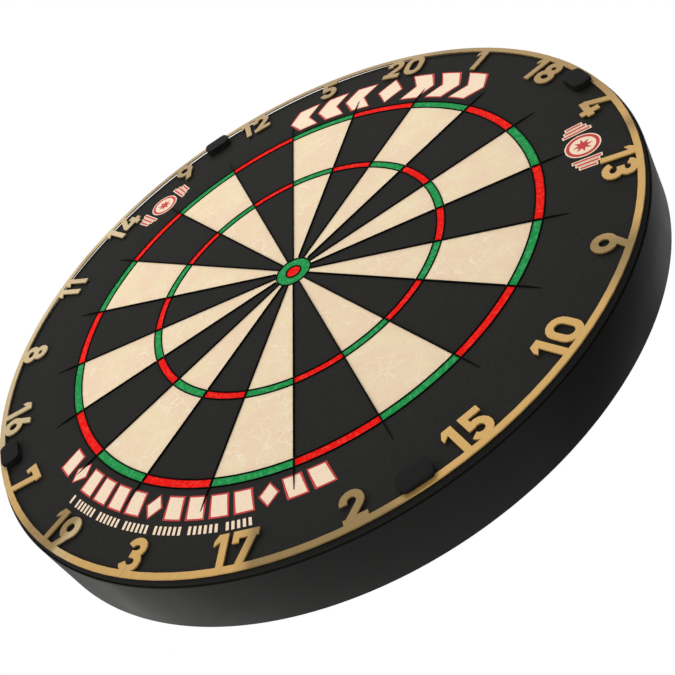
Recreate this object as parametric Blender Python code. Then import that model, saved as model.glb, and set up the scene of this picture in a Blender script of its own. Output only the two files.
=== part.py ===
"""Steel-tip bristle dartboard on its wall bracket, with a number ring held by four magnet caps.

Frame: metres, +Z up, the wall is the plane Y = 0 and the playing face looks towards -Y.
The board's axis is the Y axis. The 20 stands at the top, and angles count clockwise from it
as the player sees them.
"""
import math

import bmesh
import bpy
from mathutils import Matrix, Vector
from mathutils.geometry import delaunay_2d_cdt

MM = 0.001
GAP = 0.3 * MM                      # clearance between pieces that touch
TURN = 2 * math.pi

# Board body
BOARD_RADIUS = 228.8 * MM           # outside of the steel band: 457.6 mm across
WALL_TO_BACK = 9.0 * MM             # room behind the board for the bracket
BOARD_DEPTH = 40.9 * MM             # back face to playing face
FACE_Y = -(WALL_TO_BACK + BOARD_DEPTH)
BACK_Y = -WALL_TO_BACK
BACK_BOARD_THICKNESS = 9.0 * MM
BAND_WALL = 1.0 * MM
BAND_SETBACK = 2.9 * MM             # the band's front edge lies this far behind the face
BAND_LIP = 6.0 * MM                 # the band's back edge is folded in over the back board
FACE_FLAT_RADIUS = 219.5 * MM       # the sisal rounds over outside this
SHOULDER_RADIUS = 15.8 * MM
RIM_SEGMENTS = 96
CORE_SEGMENTS = 96
SHOULDER_STEPS = 5
BAND_EDGE_ROUND = 0.4 * MM          # the band's front edge
BAND_FOLD = 1.6 * MM                # the bend into the folded back edge
BAND_FOLD_CORNER = 0.3 * BAND_FOLD

# Scoring rings, as radii to the colour edges
BULL_INNER = 5.0 * MM
BULL_OUTER = 12.1 * MM
TREBLE_INNER = 100.1 * MM
TREBLE_OUTER = 104.9 * MM
DOUBLE_INNER = 162.7 * MM
DOUBLE_OUTER = 168.1 * MM
SEGMENTS = 20

# Wires: flat black steel, on edge
WIRE_THICKNESS = 0.6 * MM
WIRE_TOP = 0.85 * MM                # how far the wires stand proud of the face
WIRE_RING_HEIGHT = WIRE_TOP - GAP
BLADE_DEPTH = 5.0 * MM              # how deep a radial blade is let into the sisal
BLADE_START = 13.2 * MM
BLADE_END = 184.0 * MM
BLADE_TIP_LENGTH = 9.0 * MM         # the tip slopes down to the face over this length
BLADE_TIP_TOP = 0.1 * MM            # what is left of the height at the very end
BLADE_TIP_DEPTH = 2.0 * MM
RING_WIRE_SEGMENTS = 60
BULL_WIRE_SEGMENTS = 32

# Number ring: a flat steel plate, ring and figures in one
RING_OUTER = 226.3 * MM
RING_INNER = 222.3 * MM
RING_TOP = 1.95 * MM                # above the playing face
RING_THICKNESS = 1.0 * MM
RING_SEGMENTS = 120
NUMBERS = (20, 1, 18, 4, 13, 6, 10, 15, 2, 17, 3, 19, 7, 16, 8, 11, 14, 9, 12, 5)
UPSIDE_DOWN = (10, 15, 2, 17, 3, 19, 7, 16, 8)   # their tops point at the bull
FIGURE_HEIGHT = 21.2                # the figures are drawn in millimetres
FIGURE_STROKE = 4.4
FIGURE_ROOT = 202.1                 # radius of the figures' inner ends, mm
ARC_STEP = math.radians(22.5)

# Magnet holders
HOLDERS = 4
HOLDER_FIRST = math.radians(45)
CAP_CENTRE = 217.4 * MM
CAP_RADIUS = 10.4 * MM
CAP_HALF_DEPTH = 6.6 * MM           # the round cap is cut flat this far in and out
CAP_TOP = 4.8 * MM
CAP_EDGE_BEVEL = 0.5 * MM
CAP_SEGMENTS = 32
MAGNET_RADIUS = 4.0 * MM
MAGNET_HEIGHT = 2.4 * MM
MAGNET_LIFT = 0.1 * MM              # the magnet sits this far inside the cap's underside
SEAT_RADIUS = 5.0 * MM
SEAT_THICKNESS = 1.2 * MM
SEAT_SPIKE_RADIUS = 1.0 * MM
SEAT_SPIKE_LENGTH = 9.0 * MM
SEAT_SPIKE_TIP = 3.0 * MM
SEAT_SEGMENTS = 16
MAGNET_SEGMENTS = 24
HOLDER_SHIFT = -0.9 * MM            # magnet and seat sit clear of the cap's step

# Hanging hardware
NECK_RADIUS = 2.5 * MM
HEAD_RADIUS = 5.0 * MM
HEAD_HEIGHT = 2.6 * MM
HEAD_Y = -5.4 * MM                  # front of the screw head
SCREW_DEPTH = 22.0 * MM             # how deep the hanging screw goes into the board
SCREW_TIP = 4.0 * MM
HEAD_SIDE = 0.8 * MM                # how far the head's side slopes in from the crown
HEAD_SLOPE = 1.6 * MM
SCREW_SEGMENTS = 20
BRACKET_WIDTH = 78.0 * MM
BRACKET_HEIGHT = 84.0 * MM
BRACKET_TOP = 34.0 * MM             # above the board's axis
BRACKET_PLATE = 1.5 * MM
BRACKET_BRIDGE_Y = -7.3 * MM        # front of the raised bridge
BRIDGE_HALF_WIDTH = 19.0 * MM
BRIDGE_SLOPE = 5.0 * MM             # width of each slanted side of the bridge
BRIDGE_CORNER = 1.1 * MM            # the inside corners sit this far in, to keep the wall even
SLOT_HALF_WIDTH = 2.8 * MM
SLOT_STRAIGHT = 18.0 * MM           # the slot flares out above this height
SLOT_MOUTH = 6.7 * MM               # half-width of the flare at the top edge
WALL_SCREW_X = 28.0 * MM
WALL_SCREW_Z = (24.0 * MM, -40.0 * MM)
WALL_SCREW_RADIUS = 2.0 * MM
WALL_SCREW_HEAD_RADIUS = 4.2 * MM
WALL_SCREW_HEAD_HEIGHT = 1.8 * MM
WALL_SCREW_CROWN = 0.8 * MM
WALL_SCREW_SLOPE = 1.2 * MM
WALL_SCREW_LENGTH = 25.0 * MM
WALL_SCREW_TIP = 6.0 * MM
WALL_SCREW_SEGMENTS = 16
FOOT_RADIUS = 9.0 * MM
FOOT_CENTRE = 188.0 * MM
FOOT_SLOPE = 1.5 * MM
FEET = 3
THROUGH = 20.0 * MM                 # how far a cutter runs past the piece that it cuts
CLEAR = 1.0 * MM                    # how far a shallow cutter stands out of the surface

# Colours: base colour, roughness, metallic
SISAL_BLACK = ((0.024, 0.024, 0.022, 1), 0.9, 0.0)
BLACK_STEEL = ((0.012, 0.012, 0.013, 1), 0.4, 0.6)
BAND_BLACK = ((0.018, 0.018, 0.019, 1), 0.45, 0.2)
GOLD_STEEL = ((0.50, 0.34, 0.14, 1), 0.35, 0.9)
CAP_BLACK = ((0.02, 0.02, 0.021, 1), 0.55, 0.0)
ZINC = ((0.55, 0.56, 0.58, 1), 0.4, 1.0)
NICKEL = ((0.62, 0.6, 0.56, 1), 0.3, 1.0)
FIBREBOARD = ((0.24, 0.15, 0.08, 1), 0.85, 0.0)
FOOT_RUBBER = ((0.015, 0.015, 0.015, 1), 0.8, 0.0)


def clear_scene():
    """Remove every object of the start-up scene."""
    for obj in list(bpy.data.objects):
        bpy.data.objects.remove(obj, do_unlink=True)


def add_piece(name, mesh, look, location=(0, 0, 0), turn=0.0):
    """Place a mesh as a named object with its own material; turn is clockwise from the top."""
    obj = bpy.data.objects.new(name, mesh.copy())
    obj.data.name = name
    material = bpy.data.materials.new(name + "_finish")
    material.use_nodes = True
    shader = material.node_tree.nodes["Principled BSDF"]
    colour, roughness, metallic = look
    shader.inputs["Base Color"].default_value = colour
    shader.inputs["Roughness"].default_value = roughness
    shader.inputs["Metallic"].default_value = metallic
    obj.data.materials.append(material)
    obj.location = location
    obj.rotation_euler = (0, turn, 0)
    bpy.context.scene.collection.objects.link(obj)
    return obj


def to_mesh(bm, smooth=True):
    """Close a bmesh into a mesh with outward faces."""
    bmesh.ops.remove_doubles(bm, verts=bm.verts, dist=1e-6)
    bmesh.ops.recalc_face_normals(bm, faces=bm.faces)
    mesh = bpy.data.meshes.new("piece")
    bm.to_mesh(mesh)
    bm.free()
    if smooth:
        mesh.shade_smooth()
        mesh.set_sharp_from_angle(angle=math.radians(35))
    return mesh


def turned(profile, segments):
    """Spin (radius, y) points about the Y axis; a profile off the axis closes into a ring."""
    bm = bmesh.new()
    points = [bm.verts.new((radius, y, 0)) for radius, y in profile]
    edges = [bm.edges.new(pair) for pair in zip(points, points[1:])]
    on_axis = profile[0][0] == 0 and profile[-1][0] == 0
    if not on_axis:
        edges.append(bm.edges.new((points[-1], points[0])))
    bmesh.ops.spin(bm, geom=points + edges, cent=(0, 0, 0), axis=(0, 1, 0),
                   angle=TURN, steps=segments, use_merge=True)
    return to_mesh(bm)


def extruded(outline, low, high, place=Matrix.Identity(4)):
    """Pull a flat (x, z) outline along Y from low to high, then place it."""
    bm = bmesh.new()
    face = bm.faces.new([bm.verts.new((x, low, z)) for x, z in outline])
    pulled = bmesh.ops.extrude_face_region(bm, geom=[face])["geom"]
    moved = [item for item in pulled if isinstance(item, bmesh.types.BMVert)]
    bmesh.ops.translate(bm, verts=moved, vec=(0, high - low, 0))
    bmesh.ops.transform(bm, matrix=place, verts=bm.verts)
    return to_mesh(bm)


def arc(centre, radii, start, end, step=ARC_STEP):
    """Points on an ellipse arc from start to end, in radians counter-clockwise from +x."""
    count = max(1, math.ceil(abs(end - start) / step - 1e-6))
    turns = [start + (end - start) * i / count for i in range(count + 1)]
    return [(centre[0] + radii[0] * math.cos(t), centre[1] + radii[1] * math.sin(t)) for t in turns]


def cut(obj, cutter):
    """Take a cutter's shape out of an object."""
    cutter.hide_render = True
    cutter.display_type = "WIRE"
    boolean = obj.modifiers.new("cut", "BOOLEAN")
    boolean.operation = "DIFFERENCE"
    boolean.object = cutter
    boolean.solver = "EXACT"


# ---------------------------------------------------------------- board

def face_shoulder():
    """The sisal's front profile: flat face, then a round shoulder down to the band."""
    inside_band = BOARD_RADIUS - BAND_WALL - GAP
    sweep = math.asin((inside_band - FACE_FLAT_RADIUS) / SHOULDER_RADIUS)
    turns = [sweep * i / SHOULDER_STEPS for i in range(SHOULDER_STEPS + 1)]
    return [(FACE_FLAT_RADIUS + SHOULDER_RADIUS * math.sin(t),
             FACE_Y + SHOULDER_RADIUS * (1 - math.cos(t))) for t in turns]


def sisal_block():
    """Pressed sisal disc with a slot for each blade, spike holes and the hanging screw's hole."""
    back = BACK_Y - BACK_BOARD_THICKNESS - GAP
    hole_top = BACK_Y - SCREW_DEPTH - GAP
    hole = NECK_RADIUS + GAP
    profile = [(0, FACE_Y)] + face_shoulder()
    profile += [(profile[-1][0], back), (hole, back), (hole, hole_top), (0, hole_top)]
    block = add_piece("sisal_block", turned(profile, CORE_SEGMENTS), SISAL_BLACK)
    cutter = bmesh.new()
    slot_bottom = FACE_Y + BLADE_DEPTH + GAP
    for index in range(SEGMENTS):
        low = Vector((-WIRE_THICKNESS / 2 - GAP, FACE_Y - CLEAR, BLADE_START - GAP))
        high = Vector((WIRE_THICKNESS / 2 + GAP, slot_bottom, BLADE_END + GAP))
        place = Matrix.Rotation(segment_edge(index), 4, "Y")
        place @= Matrix.Translation((low + high) / 2) @ Matrix.Diagonal((*(high - low), 1))
        bmesh.ops.create_cube(cutter, size=1, matrix=place)
    for index in range(HOLDERS):
        place = holder_place(index, FACE_Y)
        for radius, low, high in ((SEAT_RADIUS + GAP, -CLEAR, SEAT_THICKNESS + GAP),
                                  (SEAT_SPIKE_RADIUS + GAP, SEAT_THICKNESS, SEAT_SPIKE_LENGTH + GAP)):
            lie = Matrix.Translation((0, (low + high) / 2, 0)) @ Matrix.Rotation(math.pi / 2, 4, "X")
            bmesh.ops.create_cone(cutter, cap_ends=True, segments=SEAT_SEGMENTS, radius1=radius,
                                  radius2=radius, depth=high - low, matrix=place @ lie)
    mesh = bpy.data.meshes.new("channel_cutter")
    cutter.to_mesh(mesh)
    cutter.free()
    channels = bpy.data.objects.new("channel_cutter", mesh)
    bpy.context.scene.collection.objects.link(channels)
    cut(block, channels)
    block.modifiers["cut"].use_self = True
    return block


def back_board():
    """Fibreboard disc behind the sisal, bored for the hanging screw."""
    outer = BOARD_RADIUS - BAND_WALL - GAP
    hole = NECK_RADIUS + GAP
    front = BACK_Y - BACK_BOARD_THICKNESS
    profile = [(hole, front), (outer, front), (outer, BACK_Y), (hole, BACK_Y)]
    return add_piece("back_board", turned(profile, CORE_SEGMENTS), FIBREBOARD)


def rim_band():
    """Steel band round the board, its back edge folded in over the back board."""
    front = FACE_Y + BAND_SETBACK
    inner = BOARD_RADIUS - BAND_WALL
    lip_front = BACK_Y + GAP
    lip_back = lip_front + BAND_WALL
    profile = [(inner, front), (BOARD_RADIUS - BAND_EDGE_ROUND, front)]
    profile += [(BOARD_RADIUS, front + BAND_EDGE_ROUND), (BOARD_RADIUS, lip_back - BAND_FOLD)]
    profile += [(BOARD_RADIUS - BAND_FOLD_CORNER, lip_back - BAND_FOLD_CORNER)]
    profile += [(BOARD_RADIUS - BAND_FOLD, lip_back), (BOARD_RADIUS - BAND_LIP, lip_back)]
    profile += [(BOARD_RADIUS - BAND_LIP, lip_front), (inner, lip_front)]
    return add_piece("rim_band", turned(profile, RIM_SEGMENTS), BAND_BLACK)


# ---------------------------------------------------------------- wires

def segment_edge(index):
    """Clockwise angle of a boundary between two fields."""
    return (index + 0.5) * TURN / SEGMENTS


def ring_wires():
    """Radius to the middle of each ring wire that lies on the face."""
    half = WIRE_THICKNESS / 2
    return {"treble_inner_wire": TREBLE_INNER - half, "treble_outer_wire": TREBLE_OUTER + half,
            "double_inner_wire": DOUBLE_INNER - half, "double_outer_wire": DOUBLE_OUTER + half}


def radial_blades():
    """Twenty blades on edge, let into the face and notched where the ring wires lie in them."""
    top = FACE_Y - WIRE_TOP
    notch = FACE_Y + GAP
    reach = WIRE_THICKNESS / 2 + GAP
    outline = [(BLADE_START, FACE_Y + BLADE_DEPTH), (BLADE_START, top)]
    for radius in ring_wires().values():
        outline += [(radius - reach, top), (radius - reach, notch)]
        outline += [(radius + reach, notch), (radius + reach, top)]
    outline += [(BLADE_END - BLADE_TIP_LENGTH, top), (BLADE_END, FACE_Y - BLADE_TIP_TOP)]
    outline += [(BLADE_END, FACE_Y + BLADE_TIP_DEPTH), (BLADE_END - BLADE_TIP_LENGTH, FACE_Y + BLADE_DEPTH)]
    stand = Matrix(((0, 1, 0, 0), (0, 0, 1, 0), (1, 0, 0, 0), (0, 0, 0, 1)))
    mesh = extruded(outline, -WIRE_THICKNESS / 2, WIRE_THICKNESS / 2, stand)
    return [add_piece(f"radial_blade_{index + 1:02d}", mesh, BLACK_STEEL, turn=segment_edge(index))
            for index in range(SEGMENTS)]


def ring_wire(name, radius, segments):
    """A flat wire ring on the face."""
    top = FACE_Y - WIRE_TOP
    bottom = FACE_Y - GAP
    inner = radius - WIRE_THICKNESS / 2
    outer = radius + WIRE_THICKNESS / 2
    profile = [(inner, top), (outer, top), (outer, bottom), (inner, bottom)]
    return add_piece(name, turned(profile, segments), BLACK_STEEL)


def scoring_wires():
    """The four scoring ring wires and the two bull wires."""
    wires = [ring_wire(name, radius, RING_WIRE_SEGMENTS) for name, radius in ring_wires().items()]
    half = WIRE_THICKNESS / 2
    wires.append(ring_wire("bull_inner_wire", BULL_INNER + half, BULL_WIRE_SEGMENTS))
    wires.append(ring_wire("bull_outer_wire", BULL_OUTER + half, BULL_WIRE_SEGMENTS))
    return wires


# ---------------------------------------------------------------- number ring

def ribbon(path, closed=False):
    """Quads of stroke width along a centre line, mitred at its corners."""
    half = FIGURE_STROKE / 2
    points = [Vector(p) for p in path]
    count = len(points)
    sides = []
    for i, point in enumerate(points):
        before = points[i - 1] if closed or i > 0 else None
        after = points[(i + 1) % count] if closed or i < count - 1 else None
        lines = [(b - a).normalized() for a, b in ((before, point), (point, after)) if a and b]
        normals = [Vector((-d.y, d.x)) for d in lines]
        normal = (normals[0] + normals[-1]).normalized()
        reach = half / normal.dot(normals[0])
        sides.append((point + normal * reach, point - normal * reach))
    pairs = list(zip(sides, sides[1:] + sides[:1]))
    if not closed:
        pairs.pop()
    return [[a[0], a[1], b[1], b[0]] for a, b in pairs]


def slant(bottom_x, top_x, low, high, width):
    """A leaning stroke with level ends, given its two left edges and its level width."""
    return [[Vector((bottom_x, low)), Vector((bottom_x + width, low)),
             Vector((top_x + width, high)), Vector((top_x, high))]]


def bar(left, right, low, high):
    """An upright rectangle."""
    return slant(left, left, low, high, right - left)


def figure_zero():
    """The figure 0: a tall closed oval, with its width."""
    half = FIGURE_STROKE / 2
    radius = 5.45
    top = arc((radius + half, FIGURE_HEIGHT - half - radius), (radius, radius), 0, math.pi)
    bottom = arc((radius + half, half + radius), (radius, radius), math.pi, TURN)
    return ribbon(top + bottom, closed=True), 15.3


def figure_one():
    """The figure 1: a stem with a slanted flag, with its width."""
    left = 3.8
    corners = ((left, 16.8), (left, FIGURE_HEIGHT), (2.4, FIGURE_HEIGHT), (0, 17.3), (0, 14.3))
    flag = [Vector(corner) for corner in corners]
    return bar(left, left + FIGURE_STROKE, 0, FIGURE_HEIGHT) + [flag], left + FIGURE_STROKE


def figure_two():
    """The figure 2: a bowl that runs down to a level foot, with its width."""
    half = FIGURE_STROKE / 2
    radius = 4.8
    bowl = arc((7.0, FIGURE_HEIGHT - half - radius), (radius, radius), math.radians(190), math.radians(-38))
    return ribbon(bowl + [(2.9, half)]) + bar(0, 13.9, 0, FIGURE_STROKE), 14.0


def figure_three():
    """The figure 3: two bowls that meet in the middle, with its width."""
    half = FIGURE_STROKE / 2
    middle = 11.0
    top = (FIGURE_HEIGHT - half - middle) / 2
    low = (middle - half) / 2
    bowls = arc((7.3, middle + top), (4.8, top), math.radians(168), math.radians(-90))
    lower = arc((7.3, middle - low), (5.2, low), math.radians(90), math.radians(-165))
    return ribbon(bowls) + ribbon(lower) + bar(5.2, 7.5, middle - half, middle + half), 14.8


def figure_four():
    """The figure 4: a level bar, a short stem and a slanted side, with its width."""
    level = bar(0.4, 16.8, 3.3, 3.3 + FIGURE_STROKE)
    stem = bar(9.8, 9.8 + FIGURE_STROKE, 0, 12.4)
    return level + stem + slant(0, 7.4, 6.6, FIGURE_HEIGHT, 5.0), 16.8


def figure_five():
    """The figure 5: a level top, a short back and a bowl, with its width."""
    half = FIGURE_STROKE / 2
    top = bar(1.2, 13.2, FIGURE_HEIGHT - FIGURE_STROKE, FIGURE_HEIGHT)
    back = bar(1.2, 1.2 + 4.0, 9.4, FIGURE_HEIGHT)
    bowl = arc((6.6, half + 5.0), (5.0, 5.0), math.radians(128), math.radians(-160))
    return top + back + ribbon(bowl), 13.8


def figure_six():
    """The figure 6: a round bowl with a slanted back, with its width."""
    half = FIGURE_STROKE / 2
    radius = 5.25
    bowl = arc((radius + half, radius + half), (radius, radius), 0, TURN)
    back = slant(0.9, 6.9, radius + half + 2.2, FIGURE_HEIGHT, 5.0)
    return ribbon(bowl[:-1], closed=True) + back, 14.9


def figure_seven():
    """The figure 7: a level top with a stub and a slanted stem, with its width."""
    top = bar(0, 15.3, FIGURE_HEIGHT - FIGURE_STROKE, FIGURE_HEIGHT)
    stub = bar(0, 3.9, FIGURE_HEIGHT - 7.2, FIGURE_HEIGHT)
    return top + stub + slant(3.6, 10.4, 0, FIGURE_HEIGHT - 0.5, 4.9), 15.3


def figure_eight():
    """The figure 8: a small loop on a larger one, with its width."""
    half = FIGURE_STROKE / 2
    low = 4.5
    top = (FIGURE_HEIGHT - FIGURE_STROKE) / 2 - low
    lower = arc((7.7, half + low), (5.4, low), 0, TURN)
    upper = arc((7.7, FIGURE_HEIGHT - half - top), (4.3, top), 0, TURN)
    return ribbon(lower[:-1], closed=True) + ribbon(upper[:-1], closed=True), 15.4


def figure_nine():
    """The figure 9: a 6 turned half round, with its width."""
    quads, width = figure_six()
    return [[Vector((width - p.x, FIGURE_HEIGHT - p.y)) for p in quad] for quad in quads], width


FIGURES = {"0": figure_zero, "1": figure_one, "2": figure_two, "3": figure_three, "4": figure_four,
           "5": figure_five, "6": figure_six, "7": figure_seven, "8": figure_eight, "9": figure_nine}
FIGURE_SPACE = 2.9


def number_polygons(number, angle):
    """Stroke polygons of a number, centred on its field and standing on the ring."""
    quads = []
    cursor = 0.0
    for character in str(number):
        shape, width = FIGURES[character]()
        space = FIGURE_SPACE if cursor else 0.0
        quads += [[p + Vector((cursor + space, 0)) for p in quad] for quad in shape]
        cursor += space + width
    sign = -1 if number in UPSIDE_DOWN else 1
    placed = []
    for quad in quads:
        corners = []
        for p in quad:
            across = sign * (p.x - cursor / 2)
            out = FIGURE_ROOT + (p.y if sign > 0 else FIGURE_HEIGHT - p.y)
            corners.append(Vector((out * math.sin(angle) + across * math.cos(angle),
                                   out * math.cos(angle) - across * math.sin(angle))))
        placed.append(corners)
    return placed


def counter_clockwise(polygon):
    """The same polygon with its corners in counter-clockwise order."""
    area = sum(a.x * b.y - b.x * a.y for a, b in zip(polygon, polygon[1:] + polygon[:1]))
    return polygon if area > 0 else polygon[::-1]


def number_ring():
    """Flat ring and figures as one plate: the outlines are merged in 2-D, then given thickness."""
    polygons = []
    step = TURN / RING_SEGMENTS
    for index in range(RING_SEGMENTS):
        corners = [(r / MM, step * ((index + k) % RING_SEGMENTS)) for r, k in
                   ((RING_INNER, 0), (RING_OUTER, 0), (RING_OUTER, 1), (RING_INNER, 1))]
        polygons.append([Vector((r * math.sin(t), r * math.cos(t))) for r, t in corners])
    for index, number in enumerate(NUMBERS):
        polygons += number_polygons(number, index * TURN / SEGMENTS)
    polygons = [counter_clockwise(polygon) for polygon in polygons]
    points = [p for polygon in polygons for p in polygon]
    faces = []
    for polygon in polygons:
        start = faces[-1][-1] + 1 if faces else 0
        faces.append(list(range(start, start + len(polygon))))
    merged, _, triangles, _, _, sources = delaunay_2d_cdt(points, [], faces, 0, 1e-4)
    bm = bmesh.new()
    flat = [bm.verts.new((p.x * MM, 0, p.y * MM)) for p in merged]
    kept = [bm.faces.new([flat[i] for i in tri]) for tri, source in zip(triangles, sources) if source]
    loose = [v for v in flat if not v.link_faces]
    bmesh.ops.delete(bm, geom=loose, context="VERTS")
    pulled = bmesh.ops.extrude_face_region(bm, geom=kept)["geom"]
    moved = [item for item in pulled if isinstance(item, bmesh.types.BMVert)]
    bmesh.ops.translate(bm, verts=moved, vec=(0, RING_THICKNESS, 0))
    return add_piece("number_ring", to_mesh(bm, smooth=False), GOLD_STEEL, (0, FACE_Y - RING_TOP, 0))


# ---------------------------------------------------------------- magnet holders

def holder_angle(index):
    """Clockwise angle of a holder: a quarter turn apart, starting at 45 degrees."""
    return HOLDER_FIRST + index * TURN / HOLDERS


def holder_place(index, y):
    """Where a holder's magnet axis stands, at depth y."""
    turn = Matrix.Rotation(holder_angle(index), 4, "Y")
    return turn @ Matrix.Translation((0, y, CAP_CENTRE + HOLDER_SHIFT))


def cap_mesh():
    """Round cap cut flat at its inner and outer sides, stepped over the number ring."""
    flat_turn = math.asin(CAP_HALF_DEPTH / CAP_RADIUS)
    round_side = arc((0, 0), (CAP_RADIUS, CAP_RADIUS), -flat_turn, flat_turn, TURN / CAP_SEGMENTS)
    outline = round_side + [(-x, -z) for x, z in round_side]
    return extruded(outline, -CAP_TOP, -GAP)


def magnet_caps():
    """Four plastic caps; each has a pocket for its magnet and a step that lies over the ring."""
    caps = []
    mesh = cap_mesh()
    ring_clear = RING_INNER - GAP
    for index in range(HOLDERS):
        angle = holder_angle(index)
        place = (CAP_CENTRE * math.sin(angle), FACE_Y, CAP_CENTRE * math.cos(angle))
        cap = add_piece(f"magnet_cap_{index + 1}", mesh, CAP_BLACK, place, angle)
        bevel = cap.modifiers.new("edges", "BEVEL")
        bevel.width = CAP_EDGE_BEVEL
        bevel.segments = 2
        bevel.limit_method = "ANGLE"
        bevel.angle_limit = math.radians(60)
        step = turned([(ring_clear, -RING_TOP - GAP), (ring_clear + THROUGH, -RING_TOP - GAP),
                       (ring_clear + THROUGH, CLEAR), (ring_clear, CLEAR)], RING_SEGMENTS)
        pocket = turned([(0, -GAP - MAGNET_HEIGHT - GAP), (MAGNET_RADIUS + GAP, -GAP - MAGNET_HEIGHT - GAP),
                         (MAGNET_RADIUS + GAP, CLEAR), (0, CLEAR)], MAGNET_SEGMENTS)
        for part, spot, name in ((step, (0, FACE_Y, 0), "ring_step"),
                                 (pocket, holder_place(index, FACE_Y).translation, "magnet_pocket")):
            cutter = bpy.data.objects.new(f"{name}_{index + 1}", part)
            cutter.location = spot
            bpy.context.scene.collection.objects.link(cutter)
            cut(cap, cutter)
        caps.append(cap)
    return caps


def magnets():
    """Disc magnets in the caps."""
    high = -GAP - MAGNET_LIFT
    low = -GAP - MAGNET_HEIGHT
    mesh = turned([(0, low), (MAGNET_RADIUS, low), (MAGNET_RADIUS, high), (0, high)], MAGNET_SEGMENTS)
    return [add_piece(f"holder_magnet_{index + 1}", mesh, NICKEL,
                      holder_place(index, FACE_Y).translation, holder_angle(index))
            for index in range(HOLDERS)]


def magnet_seats():
    """Steel discs with a spike, pressed flush into the face under the caps."""
    spike_shoulder = SEAT_SPIKE_LENGTH - SEAT_SPIKE_TIP
    profile = [(0, 0), (SEAT_RADIUS, 0), (SEAT_RADIUS, SEAT_THICKNESS), (SEAT_SPIKE_RADIUS, SEAT_THICKNESS),
               (SEAT_SPIKE_RADIUS, spike_shoulder), (0, SEAT_SPIKE_LENGTH)]
    mesh = turned(profile, SEAT_SEGMENTS)
    return [add_piece(f"magnet_seat_{index + 1}", mesh, ZINC,
                      holder_place(index, FACE_Y).translation, holder_angle(index))
            for index in range(HOLDERS)]


# ---------------------------------------------------------------- hanging hardware

def hanging_screw():
    """Pan-head screw in the middle of the back; the bracket's slot carries its neck."""
    tip = BACK_Y - SCREW_DEPTH
    crown = HEAD_Y + HEAD_HEIGHT
    profile = [(0, tip), (NECK_RADIUS, tip + SCREW_TIP), (NECK_RADIUS, HEAD_Y), (HEAD_RADIUS, HEAD_Y)]
    profile += [(HEAD_RADIUS, crown - HEAD_SIDE), (HEAD_RADIUS - HEAD_SLOPE, crown), (0, crown)]
    return add_piece("hanging_screw", turned(profile, SCREW_SEGMENTS), ZINC)


def wall_bracket():
    """Pressed plate with flanges on the wall and a raised bridge; its U slot opens upwards."""
    half = BRACKET_WIDTH / 2
    bridge = BRIDGE_HALF_WIDTH
    foot = bridge + BRIDGE_SLOPE
    inside = BRACKET_BRIDGE_Y + BRACKET_PLATE
    right = [(bridge, BRACKET_BRIDGE_Y), (foot, -BRACKET_PLATE), (half, -BRACKET_PLATE), (half, 0),
             (foot - BRIDGE_CORNER, 0), (bridge - BRIDGE_CORNER, inside)]
    section = right + [(-x, y) for x, y in reversed(right)]
    upright = Matrix(((1, 0, 0, 0), (0, 0, 1, 0), (0, 1, 0, 0), (0, 0, 0, 1)))
    mesh = extruded(section, BRACKET_TOP - BRACKET_HEIGHT, BRACKET_TOP, upright)
    bracket = add_piece("wall_bracket", mesh, BLACK_STEEL)
    slot = arc((0, 0), (SLOT_HALF_WIDTH, SLOT_HALF_WIDTH), math.pi, TURN, TURN / 16)
    slot += [(SLOT_HALF_WIDTH, SLOT_STRAIGHT), (SLOT_MOUTH, BRACKET_TOP + CLEAR)]
    slot += [(-SLOT_MOUTH, BRACKET_TOP + CLEAR), (-SLOT_HALF_WIDTH, SLOT_STRAIGHT)]
    cutter = bpy.data.objects.new("slot_cutter", extruded(slot, -THROUGH, THROUGH))
    bpy.context.scene.collection.objects.link(cutter)
    cut(bracket, cutter)
    holes = bmesh.new()
    for x, z in wall_screw_places():
        place = Matrix.Translation((x, 0, z)) @ Matrix.Rotation(math.pi / 2, 4, "X")
        bmesh.ops.create_cone(holes, cap_ends=True, segments=WALL_SCREW_SEGMENTS,
                              radius1=WALL_SCREW_RADIUS + GAP, radius2=WALL_SCREW_RADIUS + GAP,
                              depth=THROUGH, matrix=place)
    mesh = bpy.data.meshes.new("hole_cutter")
    holes.to_mesh(mesh)
    holes.free()
    drilled = bpy.data.objects.new("hole_cutter", mesh)
    bpy.context.scene.collection.objects.link(drilled)
    cut(bracket, drilled)
    return bracket


def wall_screw_places():
    """The four wall screws' places on the flanges."""
    return [(side * WALL_SCREW_X, z) for z in WALL_SCREW_Z for side in (-1, 1)]


def wall_screws():
    """Pan-head wood screws that hold the bracket; they run past the wall plane into the wall."""
    head = -BRACKET_PLATE - GAP
    crown = head - WALL_SCREW_HEAD_HEIGHT
    shank_end = WALL_SCREW_LENGTH - WALL_SCREW_TIP
    profile = [(0, crown), (WALL_SCREW_HEAD_RADIUS - WALL_SCREW_SLOPE, crown)]
    profile += [(WALL_SCREW_HEAD_RADIUS, crown + WALL_SCREW_CROWN), (WALL_SCREW_HEAD_RADIUS, head)]
    profile += [(WALL_SCREW_RADIUS, head), (WALL_SCREW_RADIUS, shank_end), (0, WALL_SCREW_LENGTH)]
    mesh = turned(profile, WALL_SCREW_SEGMENTS)
    return [add_piece(f"wall_screw_{index + 1}", mesh, ZINC, (x, 0, z))
            for index, (x, z) in enumerate(wall_screw_places())]


def rubber_feet():
    """Three stick-on feet that keep the board square to the wall."""
    front = BACK_Y + GAP
    back = -GAP
    edge = FOOT_RADIUS - FOOT_SLOPE
    mesh = turned([(0, front), (FOOT_RADIUS, front), (edge, back), (0, back)], MAGNET_SEGMENTS)
    feet = []
    for index in range(FEET):
        angle = index * TURN / FEET
        place = (FOOT_CENTRE * math.sin(angle), 0, FOOT_CENTRE * math.cos(angle))
        feet.append(add_piece(f"rubber_foot_{index + 1}", mesh, FOOT_RUBBER, place))
    return feet


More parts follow.
